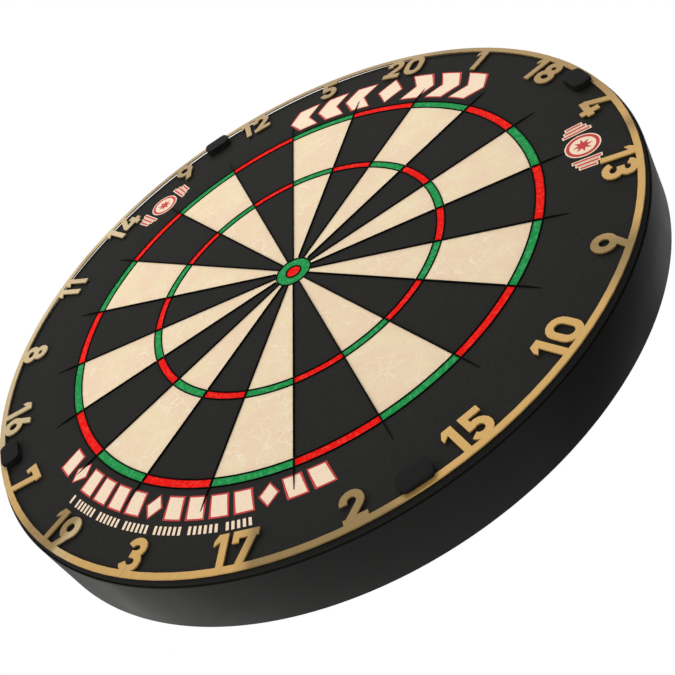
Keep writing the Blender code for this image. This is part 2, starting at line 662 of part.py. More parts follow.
def main():
    """Build every piece and group the moving ones under empties on their joint axes."""
    clear_scene()
    board = [sisal_block(), back_board(), rim_band(), hanging_screw()]
    board += radial_blades() + scoring_wires() + magnet_seats() + rubber_feet()
    wall_bracket()
    wall_screws()
    numbers = number_ring()
    caps = magnet_caps()
    discs = magnets()
    axis = bpy.data.objects.new("board_axis", None)
    bpy.context.scene.collection.objects.link(axis)
    for piece in board:
        piece.parent = axis
    bpy.context.view_layer.update()
    for cap, disc in zip(caps, discs):
        for piece in (cap, disc):
            place = piece.matrix_world.copy()
            piece.parent = numbers
            piece.matrix_parent_inverse = numbers.matrix_world.inverted()
            piece.matrix_world = place


main()
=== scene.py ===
"""Looks of a steel-tip bristle dartboard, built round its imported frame.

Everything is in metres: +Z is up towards the 20, -Y is out of the playing face, and the
board's axis is the Y axis. Turns are clockwise from the 20, as the player sees them, so a
point at radius r and turn t lies at (r sin t, y, r cos t).
"""

import logging
import math
from dataclasses import dataclass
from enum import Enum
from typing import Optional, Sequence

import bmesh
import bpy
import numpy as np
from mathutils import Matrix, Vector


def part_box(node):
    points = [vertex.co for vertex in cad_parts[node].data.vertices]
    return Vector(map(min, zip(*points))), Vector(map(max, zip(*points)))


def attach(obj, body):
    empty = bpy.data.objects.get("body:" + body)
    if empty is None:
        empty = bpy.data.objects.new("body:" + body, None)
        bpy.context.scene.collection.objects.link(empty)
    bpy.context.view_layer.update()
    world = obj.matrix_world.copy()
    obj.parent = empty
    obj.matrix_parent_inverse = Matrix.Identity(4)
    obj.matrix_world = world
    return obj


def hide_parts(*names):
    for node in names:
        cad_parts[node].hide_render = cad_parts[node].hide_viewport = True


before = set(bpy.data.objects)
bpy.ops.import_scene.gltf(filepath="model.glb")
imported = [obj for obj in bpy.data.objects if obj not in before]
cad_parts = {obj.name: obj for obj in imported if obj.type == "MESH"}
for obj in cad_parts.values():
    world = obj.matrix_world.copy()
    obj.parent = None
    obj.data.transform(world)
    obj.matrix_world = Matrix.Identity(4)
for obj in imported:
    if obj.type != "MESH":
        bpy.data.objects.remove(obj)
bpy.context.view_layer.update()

LOG = logging.getLogger("dartboard")
MM = 0.001
TURN = 2 * math.pi
ON_AXIS = 0.01 * MM  # radius of the hair-thin core that a turned part keeps at its axis
SHARP = math.radians(35)  # edges above this angle stay sharp
FLAT_ENOUGH = math.radians(0.5)  # faces that meet at less than this are joined

Colour = tuple[float, float, float, float]
Point = tuple[float, float]


class Ride(Enum):
    """The body that a piece moves with."""

    BRACKET = "bracket"
    BOARD = "board"
    NUMBERS = "number_ring"


class Slot(Enum):
    """Material slots of the record; no piece here is given one."""

    SISAL = "sisal"
    BACK = "back_board"
    BAND = "rim_band"
    WIRE = "wire"
    NUMBERS = "number_ring"
    CAP = "cap"
    MAGNET = "magnet"
    SEAT = "seat"
    SCREW = "zinc_screw"
    BRACKET = "bracket"
    FOOT = "foot"


# ---------------------------------------------------------------- shapes

@dataclass
class Shape:
    """Closed surfaces, as one array of points and blocks of faces with equal corner counts.

    Attributes:
        points: All points, one row each.
        blocks: Arrays of corner numbers; each array's faces have the same number of corners.
    """

    points: np.ndarray
    blocks: list[np.ndarray]

    def volume(self) -> float:
        """Signed volume: a sixth of the triple products of every face's fan of triangles.

        Returns:
            The volume in cubic metres, negative if the faces point inward.
        """
        total = 0.0
        for block in self.blocks:
            corners = self.points[block]
            first = corners[:, 0]
            for near, far in zip(range(1, block.shape[1] - 1), range(2, block.shape[1])):
                cross = np.cross(corners[:, near], corners[:, far])
                total += float(np.einsum("ij,ij->", first, cross))
        return total / 6

    def outward(self) -> "Shape":
        """The same shape with its faces pointing out.

        Returns:
            This shape, or one with every face's corners in the other order.
        """
        if self.volume() < 0:
            return Shape(self.points, [block[:, ::-1] for block in self.blocks])
        return self

    def turned_by(self, angle: float) -> "Shape":
        """The same shape turned clockwise about the board's axis.

        Args:
            angle: The turn in radians.

        Returns:
            The turned shape.
        """
        x, y, z = self.points.T
        points = np.stack([x * math.cos(angle) + z * math.sin(angle), y,
                           z * math.cos(angle) - x * math.sin(angle)], -1)
        return Shape(points, self.blocks)

    def moved(self, x: float = 0.0, y: float = 0.0, z: float = 0.0) -> "Shape":
        """The same shape at another place."""
        return Shape(self.points + np.array([x, y, z]), self.blocks)


def join(shapes: Sequence[Shape]) -> Shape:
    """Put several closed shapes into one.

    Args:
        shapes: The shapes, each turned outward on the way.

    Returns:
        One shape that holds them all as separate bodies.
    """
    points: list[np.ndarray] = []
    blocks: list[np.ndarray] = []
    start = 0
    for shape in shapes:
        points.append(shape.points)
        blocks += [block + start for block in shape.outward().blocks]
        start += len(shape.points)
    return Shape(np.vstack(points), blocks)


def grid_faces(rows: int, columns: int, wrap_rows: bool, wrap_columns: bool) -> np.ndarray:
    """Four-cornered faces between neighbours of a grid that is stored row by row.

    Args:
        rows: How many rows of points.
        columns: How many columns of points.
        wrap_rows: Whether the last row meets the first.
        wrap_columns: Whether the last column meets the first.

    Returns:
        An array of corner numbers, four to a face.
    """
    row, column = np.meshgrid(np.arange(rows if wrap_rows else rows - 1),
                              np.arange(columns if wrap_columns else columns - 1), indexing="ij")
    below = (row + 1) % rows
    right = (column + 1) % columns
    corners = [row * columns + column, row * columns + right, below * columns + right,
               below * columns + column]
    return np.stack(corners, -1).reshape(-1, 4)


def loft(rings: np.ndarray, closed: bool = False) -> Shape:
    """A surface through a stack of point rings.

    Args:
        rings: Points as (ring, place along it, 3).
        closed: Whether the last ring meets the first, as on a tube bent into a loop. If not,
            the first and the last ring are each closed with a fan to their middle point.

    Returns:
        The closed surface.
    """
    count, around = rings.shape[:2]
    points = rings.reshape(-1, 3)
    faces = grid_faces(count, around, closed, True)
    if closed:
        return Shape(points, [faces])
    here = np.arange(around)
    after = (here + 1) % around
    first = np.full(around, count * around)
    last = first + 1
    end = (count - 1) * around
    painted_light_fans = np.vstack([np.stack([first, after, here], -1), np.stack([last, end + here, end + after], -1)])
    poles = np.stack([rings[0].mean(0), rings[-1].mean(0)])
    return Shape(np.vstack([points, poles]), [faces, painted_light_fans])


def turned(profile: Sequence[Point], segments: int, closed: bool = True) -> Shape:
    """A profile carried once round the board's axis: (r, y) becomes (r sin t, y, r cos t).

    Args:
        profile: Points as (radius, y).
        segments: Steps of one full turn.
        closed: Whether the profile's ends meet; if not, each end runs flat to the axis.

    Returns:
        The surface of revolution.
    """
    radius, y = np.array(profile, float).T[:, :, None]
    turn = (np.arange(segments) / segments * TURN)[None, :]
    rings = np.stack([radius * np.sin(turn), y + 0 * turn, radius * np.cos(turn)], -1)
    return loft(rings, closed)


def slab(top: np.ndarray, bottom: np.ndarray) -> Shape:
    """A closed block between two grids of points of the same size.

    Args:
        top: The front grid as (row, column, 3).
        bottom: The grid behind it.

    Returns:
        The block: both grids and a wall of faces round their border.
    """
    rows, columns = top.shape[:2]
    count = rows * columns
    number = np.arange(count).reshape(rows, columns)
    border = np.concatenate([number[0, :-1], number[:-1, -1], number[-1, :0:-1], number[:0:-1, 0]])
    after = np.roll(border, -1)
    front = grid_faces(rows, columns, False, False)
    walls = np.stack([after, border, border + count, after + count], -1)
    points = np.vstack([top.reshape(-1, 3), bottom.reshape(-1, 3)])
    return Shape(points, [np.vstack([front, front[:, ::-1] + count, walls])])


def quarter(start: Point, end: Point, bulge: Point, steps: int = 4) -> list[Point]:
    """Points on a round corner, from start to end, bulging towards a corner point.

    Args:
        start: First point as (radius, y).
        end: Last point.
        bulge: The square corner that the round one replaces.
        steps: How many stretches the corner has.

    Returns:
        The points, both ends included, on a quarter ellipse.
    """
    turns = [math.pi / 2 * step / steps for step in range(steps + 1)]
    middle = (start[0] + end[0] - bulge[0], start[1] + end[1] - bulge[1])
    return [(middle[0] + (start[0] - middle[0]) * math.cos(t) + (end[0] - middle[0]) * math.sin(t),
             middle[1] + (start[1] - middle[1]) * math.cos(t) + (end[1] - middle[1]) * math.sin(t))
            for t in turns]


def place_piece(name: str, mesh: bpy.types.Mesh, finish: "Finish", body: str,
                stands_for: Sequence[str]) -> bpy.types.Object:
    """Make an object of a mesh, tie it to its body and hide the nodes that it stands for.

    Args:
        name: The piece's name.
        mesh: Its mesh, in place.
        finish: What it is made of.
        body: The body that it rides on.
        stands_for: The frame's nodes that it replaces.

    Returns:
        The new object.
    """
    piece = bpy.data.objects.new(name, mesh)
    bpy.context.scene.collection.objects.link(piece)
    mesh.materials.clear()
    mesh.materials.append(finish.material())
    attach(piece, body)
    if stands_for:
        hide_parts(*stands_for)
    LOG.info("%s: %d faces on %s", name, len(mesh.polygons), body)
    return piece


def add_shape(name: str, shape: Shape, finish: "Finish", body: str,
              stands_for: Sequence[str] = (), sharp: float = SHARP) -> bpy.types.Object:
    """Turn a shape into a piece of the object, shaded smooth up to a sharp angle.

    Args:
        name: The piece's name.
        shape: Its closed surfaces.
        finish: What it is made of.
        body: The body that it rides on.
        stands_for: The frame's nodes that it replaces.
        sharp: Edges above this angle in radians stay sharp.

    Returns:
        The new object.
    """
    solid = shape.outward()
    mesh = bpy.data.meshes.new(name)
    faces = [face for block in solid.blocks for face in block.tolist()]
    mesh.from_pydata(solid.points.tolist(), [], faces)
    mesh.shade_smooth()
    mesh.set_sharp_from_angle(angle=sharp)
    return place_piece(name, mesh, finish, body, stands_for)


def merged_copy(node: str) -> bpy.types.Mesh:
    """A copy of a frame node's mesh with its points merged and its flat faces joined.

    Args:
        node: The node's name.

    Returns:
        The new mesh, shaded smooth up to its sharp edges.
    """
    mesh = bpy.data.meshes.new(node + "_copy")
    work = bmesh.new()
    work.from_mesh(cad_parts[node].data)
    bmesh.ops.remove_doubles(work, verts=work.verts, dist=0.002 * MM)
    bmesh.ops.dissolve_limit(work, angle_limit=FLAT_ENOUGH, verts=work.verts, edges=work.edges,
                             use_dissolve_boundaries=False)
    work.to_mesh(mesh)
    work.free()
    mesh.shade_smooth()
    mesh.set_sharp_from_angle(angle=SHARP)
    return mesh


def soften(piece: bpy.types.Object, width: float) -> None:
    """Round a piece's edges with a live bevel.

    Args:
        piece: The object.
        width: The bevel's width in metres.
    """
    bevel = piece.modifiers.new("softened_edges", "BEVEL")
    bevel.width = width
    bevel.segments = 2
    bevel.limit_method = "ANGLE"
    bevel.angle_limit = math.radians(40)
    bevel.harden_normals = True


# ---------------------------------------------------------------- finishes

def linear(colour: str) -> Colour:
    """A hex colour as linear red, green, blue and alpha.

    Args:
        colour: sRGB in hex, such as #2B2B29.

    Returns:
        The four linear channels.
    """
    parts = [int(colour[i:i + 2], 16) / 255 for i in (1, 3, 5)]
    red, green, blue = (c / 12.92 if c <= 0.04045 else ((c + 0.055) / 1.055) ** 2.4 for c in parts)
    return (red, green, blue, 1.0)


def per(size: float) -> float:
    """The pattern scale that repeats once over a size in millimetres."""
    return 1 / (size * MM)


def add_node(tree: bpy.types.NodeTree, kind: str, feeds: Optional[dict] = None,
             **settings: object) -> bpy.types.Node:
    """Add a shader node with its settings and links.

    Args:
        tree: The node tree.
        kind: The node type without its ShaderNode prefix.
        feeds: Input name or number to a value, or to the output socket that feeds it.
        **settings: Properties of the node.

    Returns:
        The node.
    """
    node = tree.nodes.new("ShaderNode" + kind)
    for name, value in settings.items():
        setattr(node, name, value)
    for name, value in (feeds or {}).items():
        if isinstance(value, bpy.types.NodeSocket):
            tree.links.new(value, node.inputs[name])
        else:
            node.inputs[name].default_value = value
    return node


def shade(tree: bpy.types.NodeTree, factor: object, low: object, high: object,
          blend: str = "MIX") -> bpy.types.NodeSocket:
    """Mix two colours by a factor and give the result's socket.

    Args:
        tree: The node tree.
        factor: A number or a socket.
        low: Colour or socket at factor 0.
        high: Colour or socket at factor 1.
        blend: The mix node's blend type.

    Returns:
        The colour output.
    """
    mix = add_node(tree, "Mix", data_type="RGBA", blend_type=blend)
    for socket, value in ((mix.inputs[0], factor), (mix.inputs[6], low), (mix.inputs[7], high)):
        if isinstance(value, bpy.types.NodeSocket):
            tree.links.new(value, socket)
        else:
            socket.default_value = value
    return mix.outputs[2]


def spread(tree: bpy.types.NodeTree, value: bpy.types.NodeSocket, low: float, high: float,
           to_low: float = 0.0, to_high: float = 1.0) -> bpy.types.NodeSocket:
    """Stretch a value's range and clamp it, as one map-range node.

    Args:
        tree: The node tree.
        value: What to stretch.
        low: Its value at the start of the range.
        high: Its value at the end.
        to_low: What the start becomes.
        to_high: What the end becomes.

    Returns:
        The stretched value.
    """
    feeds = {"Value": value, "From Min": low, "From Max": high, "To Min": to_low, "To Max": to_high}
    return add_node(tree, "MapRange", feeds).outputs["Result"]


@dataclass(frozen=True)
class Finish:
    """A material with one colour; its kinds add their own patterns.

    Attributes:
        name: Named for the real material and how its surface was made.
        colour: The surface's own colour, as sRGB hex.
        roughness: How matt it is, 0 to 1.
        metallic: 1 for bare metal.
        specular: Strength of the clear reflection on a non-metal.
    """

    name: str
    colour: str
    roughness: float
    metallic: float = 0.0
    specular: float = 0.5

    def material(self) -> bpy.types.Material:
        """The Blender material, made on first use and shared after that.

        Returns:
            The material, with this finish's own pattern.
        """
        found = bpy.data.materials.get(self.name)
        if found:
            return found
        made = bpy.data.materials.new(self.name)
        made.use_nodes = True
        shader = made.node_tree.nodes["Principled BSDF"]
        shader.inputs["Base Color"].default_value = linear(self.colour)
        shader.inputs["Roughness"].default_value = self.roughness
        shader.inputs["Metallic"].default_value = self.metallic
        shader.inputs["Specular IOR Level"].default_value = self.specular
        place = add_node(made.node_tree, "TexCoord").outputs["Object"]
        self.dress(made.node_tree, shader, place)
        return made

    def dress(self, tree: bpy.types.NodeTree, shader: bpy.types.Node, place: bpy.types.NodeSocket) -> None:
        """Add this finish's pattern to the shader.

        Args:
            tree: The material's nodes.
            shader: Its Principled shader.
            place: Object coordinates, in metres.
        """

    def bump(self, tree: bpy.types.NodeTree, shader: bpy.types.Node, height: bpy.types.NodeSocket,
             depth: float, strength: float = 1.0) -> None:
        """Let a height pattern bend the shader's normals.

        Args:
            tree: The material's nodes.
            shader: Its Principled shader.
            height: The pattern.
            depth: Its depth, mm.
            strength: How much of it to use, 0 to 1.
        """
        feeds = {"Height": height, "Distance": depth * MM, "Strength": strength}
        made = add_node(tree, "Bump", feeds)
        tree.links.new(made.outputs["Normal"], shader.inputs["Normal"])


@dataclass(frozen=True)
class Sisal(Finish):
    """Pressed sisal fibre, dyed and sanded: the eye sees the cut ends of a million fibres.

    Attributes:
        speck: Size of a clump of fibre ends, mm. Single ends, 0.2 mm, would be too fine to show.
        speck_colour: Colour of these clumps.
        crease_colour: Colour of the pale creases left by the press.
        tint_colour: Colour of the broad stains between them.
        crease: How strongly the creases and stains show, 0 to 1.
        specks: How strongly the clumps show, 0 to 1.
        layers: For each layer of creases, the lumps' size in mm, a line's width as a share of a
            lump, and the size in mm of the patches in which the lines show.
        wander: Size of the swirls that bend the creases, mm.
        wander_reach: How far they bend them, mm.
        stain: Size of the broad stains, mm.
        nap: Height of the fibre ends, mm.
    """

    speck: float = 1.3
    speck_colour: str = "#1A1A19"
    crease_colour: str = "#3A3A37"
    tint_colour: str = "#2B2B29"
    crease: float = 0.3
    specks: float = 0.45
    layers: tuple[tuple[float, float, float], ...] = ((17.0, 0.028, 24.0), (7.5, 0.045, 13.0))
    wander: float = 7.0
    wander_reach: float = 5.0
    stain: float = 19.0
    nap: float = 0.25

    def creases(self, tree: bpy.types.NodeTree, place: bpy.types.NodeSocket, lump: float, width: float,
                patch: float) -> bpy.types.NodeSocket:
        """Thin lines between pressed lumps, which fade in and out in patches.

        Args:
            tree: The material's nodes.
            place: Coordinates, already bent a little.
            lump: Size of a lump, mm.
            width: Width of a line as a share of the lump.
            patch: Size of the patches in which the lines show, mm.

        Returns:
            How strongly a line shows at a point.
        """
        cells = add_node(tree, "TexVoronoi", {"Vector": place, "Scale": per(lump)},
                         feature="DISTANCE_TO_EDGE")
        line = spread(tree, cells.outputs["Distance"], 0.0, width, self.crease, 0.0)
        patchy = add_node(tree, "TexNoise", {"Vector": place, "Scale": per(patch), "Detail": 2.0})
        where = spread(tree, patchy.outputs["Fac"], 0.46, 0.6)
        return add_node(tree, "Math", {0: line, 1: where}, operation="MULTIPLY").outputs[0]

    def dress(self, tree: bpy.types.NodeTree, shader: bpy.types.Node, place: bpy.types.NodeSocket) -> None:
        """Fibre specks, pressed creases and slow stains, with a fine nap in the bump.

        Args:
            tree: The material's nodes.
            shader: Its Principled shader.
            place: Object coordinates, in metres.
        """
        wander = add_node(tree, "TexNoise", {"Vector": place, "Scale": per(self.wander), "Detail": 4.0})
        reach = (self.wander_reach * MM,) * 3
        pushed = add_node(tree, "VectorMath", {0: wander.outputs["Color"], 1: reach}, operation="MULTIPLY")
        bent = add_node(tree, "VectorMath", {0: place, 1: pushed.outputs[0]}, operation="ADD").outputs[0]
        stain = add_node(tree, "TexNoise", {"Vector": bent, "Scale": per(self.stain), "Detail": 3.0})
        stained = spread(tree, stain.outputs["Fac"], 0.42, 0.66, 0.0, self.crease)
        fibre = add_node(tree, "TexNoise", {"Vector": place, "Scale": per(self.speck), "Detail": 2.0,
                                            "Roughness": 0.7})
        specks = spread(tree, fibre.outputs["Fac"], 0.48, 0.66, 0.0, self.specks)
        colour = shade(tree, stained, linear(self.colour), linear(self.tint_colour))
        for lump, width, patch in self.layers:
            colour = shade(tree, self.creases(tree, bent, lump, width, patch), colour,
                           linear(self.crease_colour))
        colour = shade(tree, specks, colour, linear(self.speck_colour))
        tree.links.new(colour, shader.inputs["Base Color"])
        self.bump(tree, shader, fibre.outputs["Fac"], self.nap, 0.5)


@dataclass(frozen=True)
class SprayCoat(Finish):
    """Sprayed lacquer or powder coat on steel: an orange-peel surface that softens reflections.

    Attributes:
        peel: Distance between the coat's swells, mm.
        peel_depth: Their height, mm.
        wear: Size of the handling marks, mm.
    """

    peel: float = 1.6
    peel_depth: float = 0.02
    wear: float = 45.0

    def dress(self, tree: bpy.types.NodeTree, shader: bpy.types.Node, place: bpy.types.NodeSocket) -> None:
        """Orange peel in the bump, and handling marks that change the gloss.

        Args:
            tree: The material's nodes.
            shader: Its Principled shader.
            place: Object coordinates, in metres.
        """
        swell = add_node(tree, "TexNoise", {"Vector": place, "Scale": per(self.peel), "Detail": 1.0})
        wear = add_node(tree, "TexNoise", {"Vector": place, "Scale": per(self.wear), "Detail": 5.0})
        gloss = spread(tree, wear.outputs["Fac"], 0.35, 0.7, self.roughness - 0.05, self.roughness + 0.07)
        tree.links.new(gloss, shader.inputs["Roughness"])
        self.bump(tree, shader, swell.outputs["Fac"], self.peel_depth)


class GoldPaintedLight(Enum):
    """Tones of gold-coloured brushed steel, from the shaded to the bright stretches: painted shade, the
    plain colour, and painted reflections.
    """

    SHADED = "#866D3E"
    PLAIN = "#9A7D4C"
    BRIGHT = "#C29B58"
    PALE = "#B8A47C"


@dataclass(frozen=True)
class BrushedGold(Finish):
    """Gold-coloured steel sheet, brushed in straight strokes, with painted reflections and painted shade
    that change in tone by turn round the ring.

    Attributes:
        painted_light_fans: Clockwise turn in degrees and tone there, in rising order over one full turn; the
            tones paint in shade and reflections.
        stroke: Width of a brush stroke, mm. Real ones are 0.1 mm, too fine to show.
        stroke_length: Its length, mm.
        stroke_depth: Its depth, mm.
        dark_stroke: What the darkest strokes do to the tone.
        bright_stroke: What the brightest strokes do to it.
    """

    painted_light_fans: tuple[tuple[float, GoldPaintedLight], ...] = ()
    stroke: float = 0.9
    stroke_length: float = 26.0
    stroke_depth: float = 0.012
    dark_stroke: Colour = (0.86, 0.85, 0.84, 1)
    bright_stroke: Colour = (1.06, 1.06, 1.06, 1)

    def dress(self, tree: bpy.types.NodeTree, shader: bpy.types.Node, place: bpy.types.NodeSocket) -> None:
        """Painted reflections and painted shade by turn from a colour ramp, crossed by fine straight
        strokes.

        Args:
            tree: The material's nodes.
            shader: Its Principled shader.
            place: Object coordinates, in metres.
        """
        axes = add_node(tree, "SeparateXYZ", {0: place})
        turn = add_node(tree, "Math", {0: axes.outputs["X"], 1: axes.outputs["Z"]}, operation="ARCTAN2")
        share = spread(tree, turn.outputs[0], -math.pi, math.pi)
        # The colour ramp paints reflections and shade into the gold by turn round the ring.
        ramp = add_node(tree, "ValToRGB", {0: share})
        painted_light_stops = sorted(((angle / 360 + 0.5) % 1.0, tone) for angle, tone in self.painted_light_fans)
        for index, (position, tone) in enumerate(painted_light_stops):
            stop = ramp.color_ramp.elements[index] if index < 2 else ramp.color_ramp.elements.new(position)
            stop.position = position
            stop.color = linear(tone.value)
        across, along = per(self.stroke), per(self.stroke_length)
        narrow = add_node(tree, "Mapping", {"Vector": place, "Scale": (across, across, along)})
        strokes = add_node(tree, "TexNoise", {"Vector": narrow.outputs[0], "Scale": 1.0, "Detail": 3.0})
        streak = spread(tree, strokes.outputs["Fac"], 0.3, 0.7)
        brushed = shade(tree, streak, self.dark_stroke, self.bright_stroke)
        colour = shade(tree, 1.0, ramp.outputs["Color"], brushed, "MULTIPLY")
        tree.links.new(colour, shader.inputs["Base Color"])
        gloss = spread(tree, strokes.outputs["Fac"], 0.3, 0.7, self.roughness - 0.06, self.roughness + 0.08)
        tree.links.new(gloss, shader.inputs["Roughness"])
        self.bump(tree, shader, strokes.outputs["Fac"], self.stroke_depth)


@dataclass(frozen=True)
class Moulded(Finish):
    """Moulded plastic or rubber: a spark-eroded mould leaves a fine even grain.

    Attributes:
        grain: Size of the grain, mm.
        grain_depth: Its depth, mm.
        paler: How many times paler its high spots are.
    """

    grain: float = 0.5
    grain_depth: float = 0.03
    paler: float = 1.9

    def dress(self, tree: bpy.types.NodeTree, shader: bpy.types.Node, place: bpy.types.NodeSocket) -> None:
        """An even grain in the bump, with slightly paler high spots.

        Args:
            tree: The material's nodes.
            shader: Its Principled shader.
            place: Object coordinates, in metres.
        """
        grain = add_node(tree, "TexNoise", {"Vector": place, "Scale": per(self.grain), "Detail": 2.0})
        high = spread(tree, grain.outputs["Fac"], 0.4, 0.7, 0.0, 0.35)
        pale = tuple(min(1.0, self.paler * c) for c in linear(self.colour)[:3]) + (1.0,)
        tree.links.new(shade(tree, high, linear(self.colour), pale), shader.inputs["Base Color"])
        self.bump(tree, shader, grain.outputs["Fac"], self.grain_depth)


@dataclass(frozen=True)
class Plated(Finish):
    """Zinc- or nickel-plated steel: bright, with faint clouds where the bath lay uneven.

    Attributes:
        cloud_colour: Colour of the duller clouds.
        cloud: Their size, mm.
    """

    cloud_colour: str = "#8E9094"
    cloud: float = 3.5

    def dress(self, tree: bpy.types.NodeTree, shader: bpy.types.Node, place: bpy.types.NodeSocket) -> None:
        """Clouds in the colour and the gloss.

        Args:
            tree: The material's nodes.
            shader: Its Principled shader.
            place: Object coordinates, in metres.
        """
        cloud = add_node(tree, "TexNoise", {"Vector": place, "Scale": per(self.cloud), "Detail": 4.0})
        dull = spread(tree, cloud.outputs["Fac"], 0.4, 0.7)
        tree.links.new(shade(tree, dull, linear(self.colour), linear(self.cloud_colour)),
                       shader.inputs["Base Color"])
        gloss = spread(tree, cloud.outputs["Fac"], 0.35, 0.7, self.roughness - 0.05, self.roughness + 0.15)
        tree.links.new(gloss, shader.inputs["Roughness"])


@dataclass(frozen=True)
class Fibreboard(Finish):
    """Pressed wood fibre: short pale and dark fibres lie flat, every way, under a hard skin.

    Attributes:
        fibre: Width of a fibre bundle, mm.
        fibre_colour: Colour of the dark fibres.
        pale_colour: Colour of the pale ones.
        slender: A bundle's length over its width.
        stain: Size of the slow stains, mm.
        depth: Height of the bundles, mm.
    """

    fibre: float = 0.7
    fibre_colour: str = "#876746"
    pale_colour: str = "#CDB08A"
    slender: float = 8.0
    stain: float = 60.0
    depth: float = 0.05

    def dress(self, tree: bpy.types.NodeTree, shader: bpy.types.Node, place: bpy.types.NodeSocket) -> None:
        """Three crossing layers of stretched fibres, and slow stains over them.

        Args:
            tree: The material's nodes.
            shader: Its Principled shader.
            place: Object coordinates, in metres.
        """
        colour: object = linear(self.colour)
        across, along = per(self.fibre), per(self.slender * self.fibre)
        layers = ((20.0, self.fibre_colour), (110.0, self.pale_colour), (-50.0, self.fibre_colour))
        for angle, tone in layers:
            lie = add_node(tree, "Mapping", {"Vector": place, "Rotation": (0, math.radians(angle), 0),
                                             "Scale": (across, across, along)})
            strand = add_node(tree, "TexNoise", {"Vector": lie.outputs[0], "Scale": 1.0, "Detail": 2.0})
            shown = spread(tree, strand.outputs["Fac"], 0.54, 0.7, 0.0, 0.55)
            colour = shade(tree, shown, colour, linear(tone))
        stain = add_node(tree, "TexNoise", {"Vector": place, "Scale": per(self.stain), "Detail": 3.0})
        dark = spread(tree, stain.outputs["Fac"], 0.4, 0.8, 0.0, 0.3)
        tree.links.new(shade(tree, dark, colour, linear(self.fibre_colour)), shader.inputs["Base Color"])
        self.bump(tree, shader, strand.outputs["Fac"], self.depth)


@dataclass(frozen=True)
class ScreenInk(Finish):
    """Screen ink on sisal: flat colour with pinholes where fibre ends stayed dry.

    Attributes:
        pinhole: Size of a pinhole clump, mm.
        dry_colour: The sisal's colour in the pinholes.
        film: Height of the ink's grain, mm.
    """

    pinhole: float = 1.1
    dry_colour: str = "#3A302A"
    film: float = 0.1

    def dress(self, tree: bpy.types.NodeTree, shader: bpy.types.Node, place: bpy.types.NodeSocket) -> None:
        """Pinholes that let some of the dark sisal through.

        Args:
            tree: The material's nodes.
            shader: Its Principled shader.
            place: Object coordinates, in metres.
        """
        grain = add_node(tree, "TexNoise", {"Vector": place, "Scale": per(self.pinhole), "Detail": 2.0})
        dry = spread(tree, grain.outputs["Fac"], 0.6, 0.75, 0.0, 0.3)
        colour = shade(tree, dry, linear(self.colour), linear(self.dry_colour))
        tree.links.new(colour, shader.inputs["Base Color"])
        self.bump(tree, shader, grain.outputs["Fac"], self.film, 0.5)


# Dyed sisal: quite matt, since every fibre end scatters the light
SISAL_BLACK = Sisal("pressed sisal, dyed black", "#272726", 0.9, specular=0.04, speck_colour="#1E1E1D",
                    crease_colour="#2E2E2C", tint_colour="#2A2A28")
SISAL_CREAM = Sisal("pressed sisal, natural", "#E4CDB2", 0.9, specular=0.04, speck_colour="#E2C6A0",
                    crease_colour="#F4EEDA", tint_colour="#E6DCB6", crease=0.5)
SISAL_RED = Sisal("pressed sisal, dyed red", "#E2110E", 0.9, specular=0.04, speck=1.7,
                  speck_colour="#FF5242", crease_colour="#F23022", tint_colour="#E2110E")
SISAL_GREEN = Sisal("pressed sisal, dyed green", "#198A44", 0.9, specular=0.04, speck=1.7,
                    speck_colour="#62BC86", crease_colour="#34A65C", tint_colour="#198A44")
# Satin lacquer over steel: dark, with a broad soft sheen along the round wall
BAND_LACQUER = SprayCoat("satin black lacquer on steel", "#0C0C0C", 0.42, specular=0.15)
# Powder coat: thicker and duller than lacquer, with a finer orange peel
BRACKET_COAT = SprayCoat("black powder coat on steel", "#1C1C1D", 0.55, peel=0.8, peel_depth=0.04)
# Blackened spring steel: the oxide swallows the light, so the wires read as plain black lines
WIRE_BLACK = SprayCoat("blackened spring steel", "#070707", 0.7, specular=0.02, peel=0.6, peel_depth=0.01)
# Gold-coloured coat on brushed steel: satin, with painted reflections and painted shade that change by turn
# round the ring, standing in for the strokes turning in the light
GOLD = BrushedGold("brushed gold-coloured steel", "#9A7D4C", 0.5, metallic=0.2, specular=0.25, painted_light_fans=(
    (0, GoldPaintedLight.PLAIN), (8, GoldPaintedLight.SHADED), (24, GoldPaintedLight.PLAIN), (38, GoldPaintedLight.PLAIN),
    (50, GoldPaintedLight.PLAIN), (60, GoldPaintedLight.BRIGHT), (63, GoldPaintedLight.SHADED), (67, GoldPaintedLight.BRIGHT),
    (85, GoldPaintedLight.BRIGHT), (90, GoldPaintedLight.SHADED), (96, GoldPaintedLight.PLAIN), (101, GoldPaintedLight.BRIGHT),
    (134, GoldPaintedLight.BRIGHT), (140, GoldPaintedLight.SHADED), (159, GoldPaintedLight.SHADED), (161, GoldPaintedLight.BRIGHT),
    (190, GoldPaintedLight.BRIGHT), (196, GoldPaintedLight.PALE), (197, GoldPaintedLight.SHADED), (206, GoldPaintedLight.PLAIN),
    (211, GoldPaintedLight.BRIGHT), (232, GoldPaintedLight.PALE), (241, GoldPaintedLight.PALE), (250, GoldPaintedLight.PALE),
    (270, GoldPaintedLight.PALE), (279, GoldPaintedLight.PLAIN), (285, GoldPaintedLight.PALE), (298, GoldPaintedLight.SHADED),
    (308, GoldPaintedLight.SHADED), (318, GoldPaintedLight.PLAIN), (330, GoldPaintedLight.SHADED), (352, GoldPaintedLight.SHADED)))
# Moulded plastic: matt black, with hardly any highlight
CAP_PLASTIC = Moulded("moulded black plastic", "#1B1B1B", 0.8, specular=0.05)
# Rubber: a little darker than the plastic, with a coarser grain
FOOT_RUBBER = Moulded("moulded black rubber", "#141414", 0.8, grain=0.7)
# Plated steel: bright metal, cooler and duller for zinc, warmer and glossier for nickel
ZINC = Plated("zinc-plated steel", "#B9BCC2", 0.34, metallic=1.0)
NICKEL = Plated("nickel-plated magnet", "#C9C3B6", 0.22, metallic=1.0, cloud_colour="#A59F92")
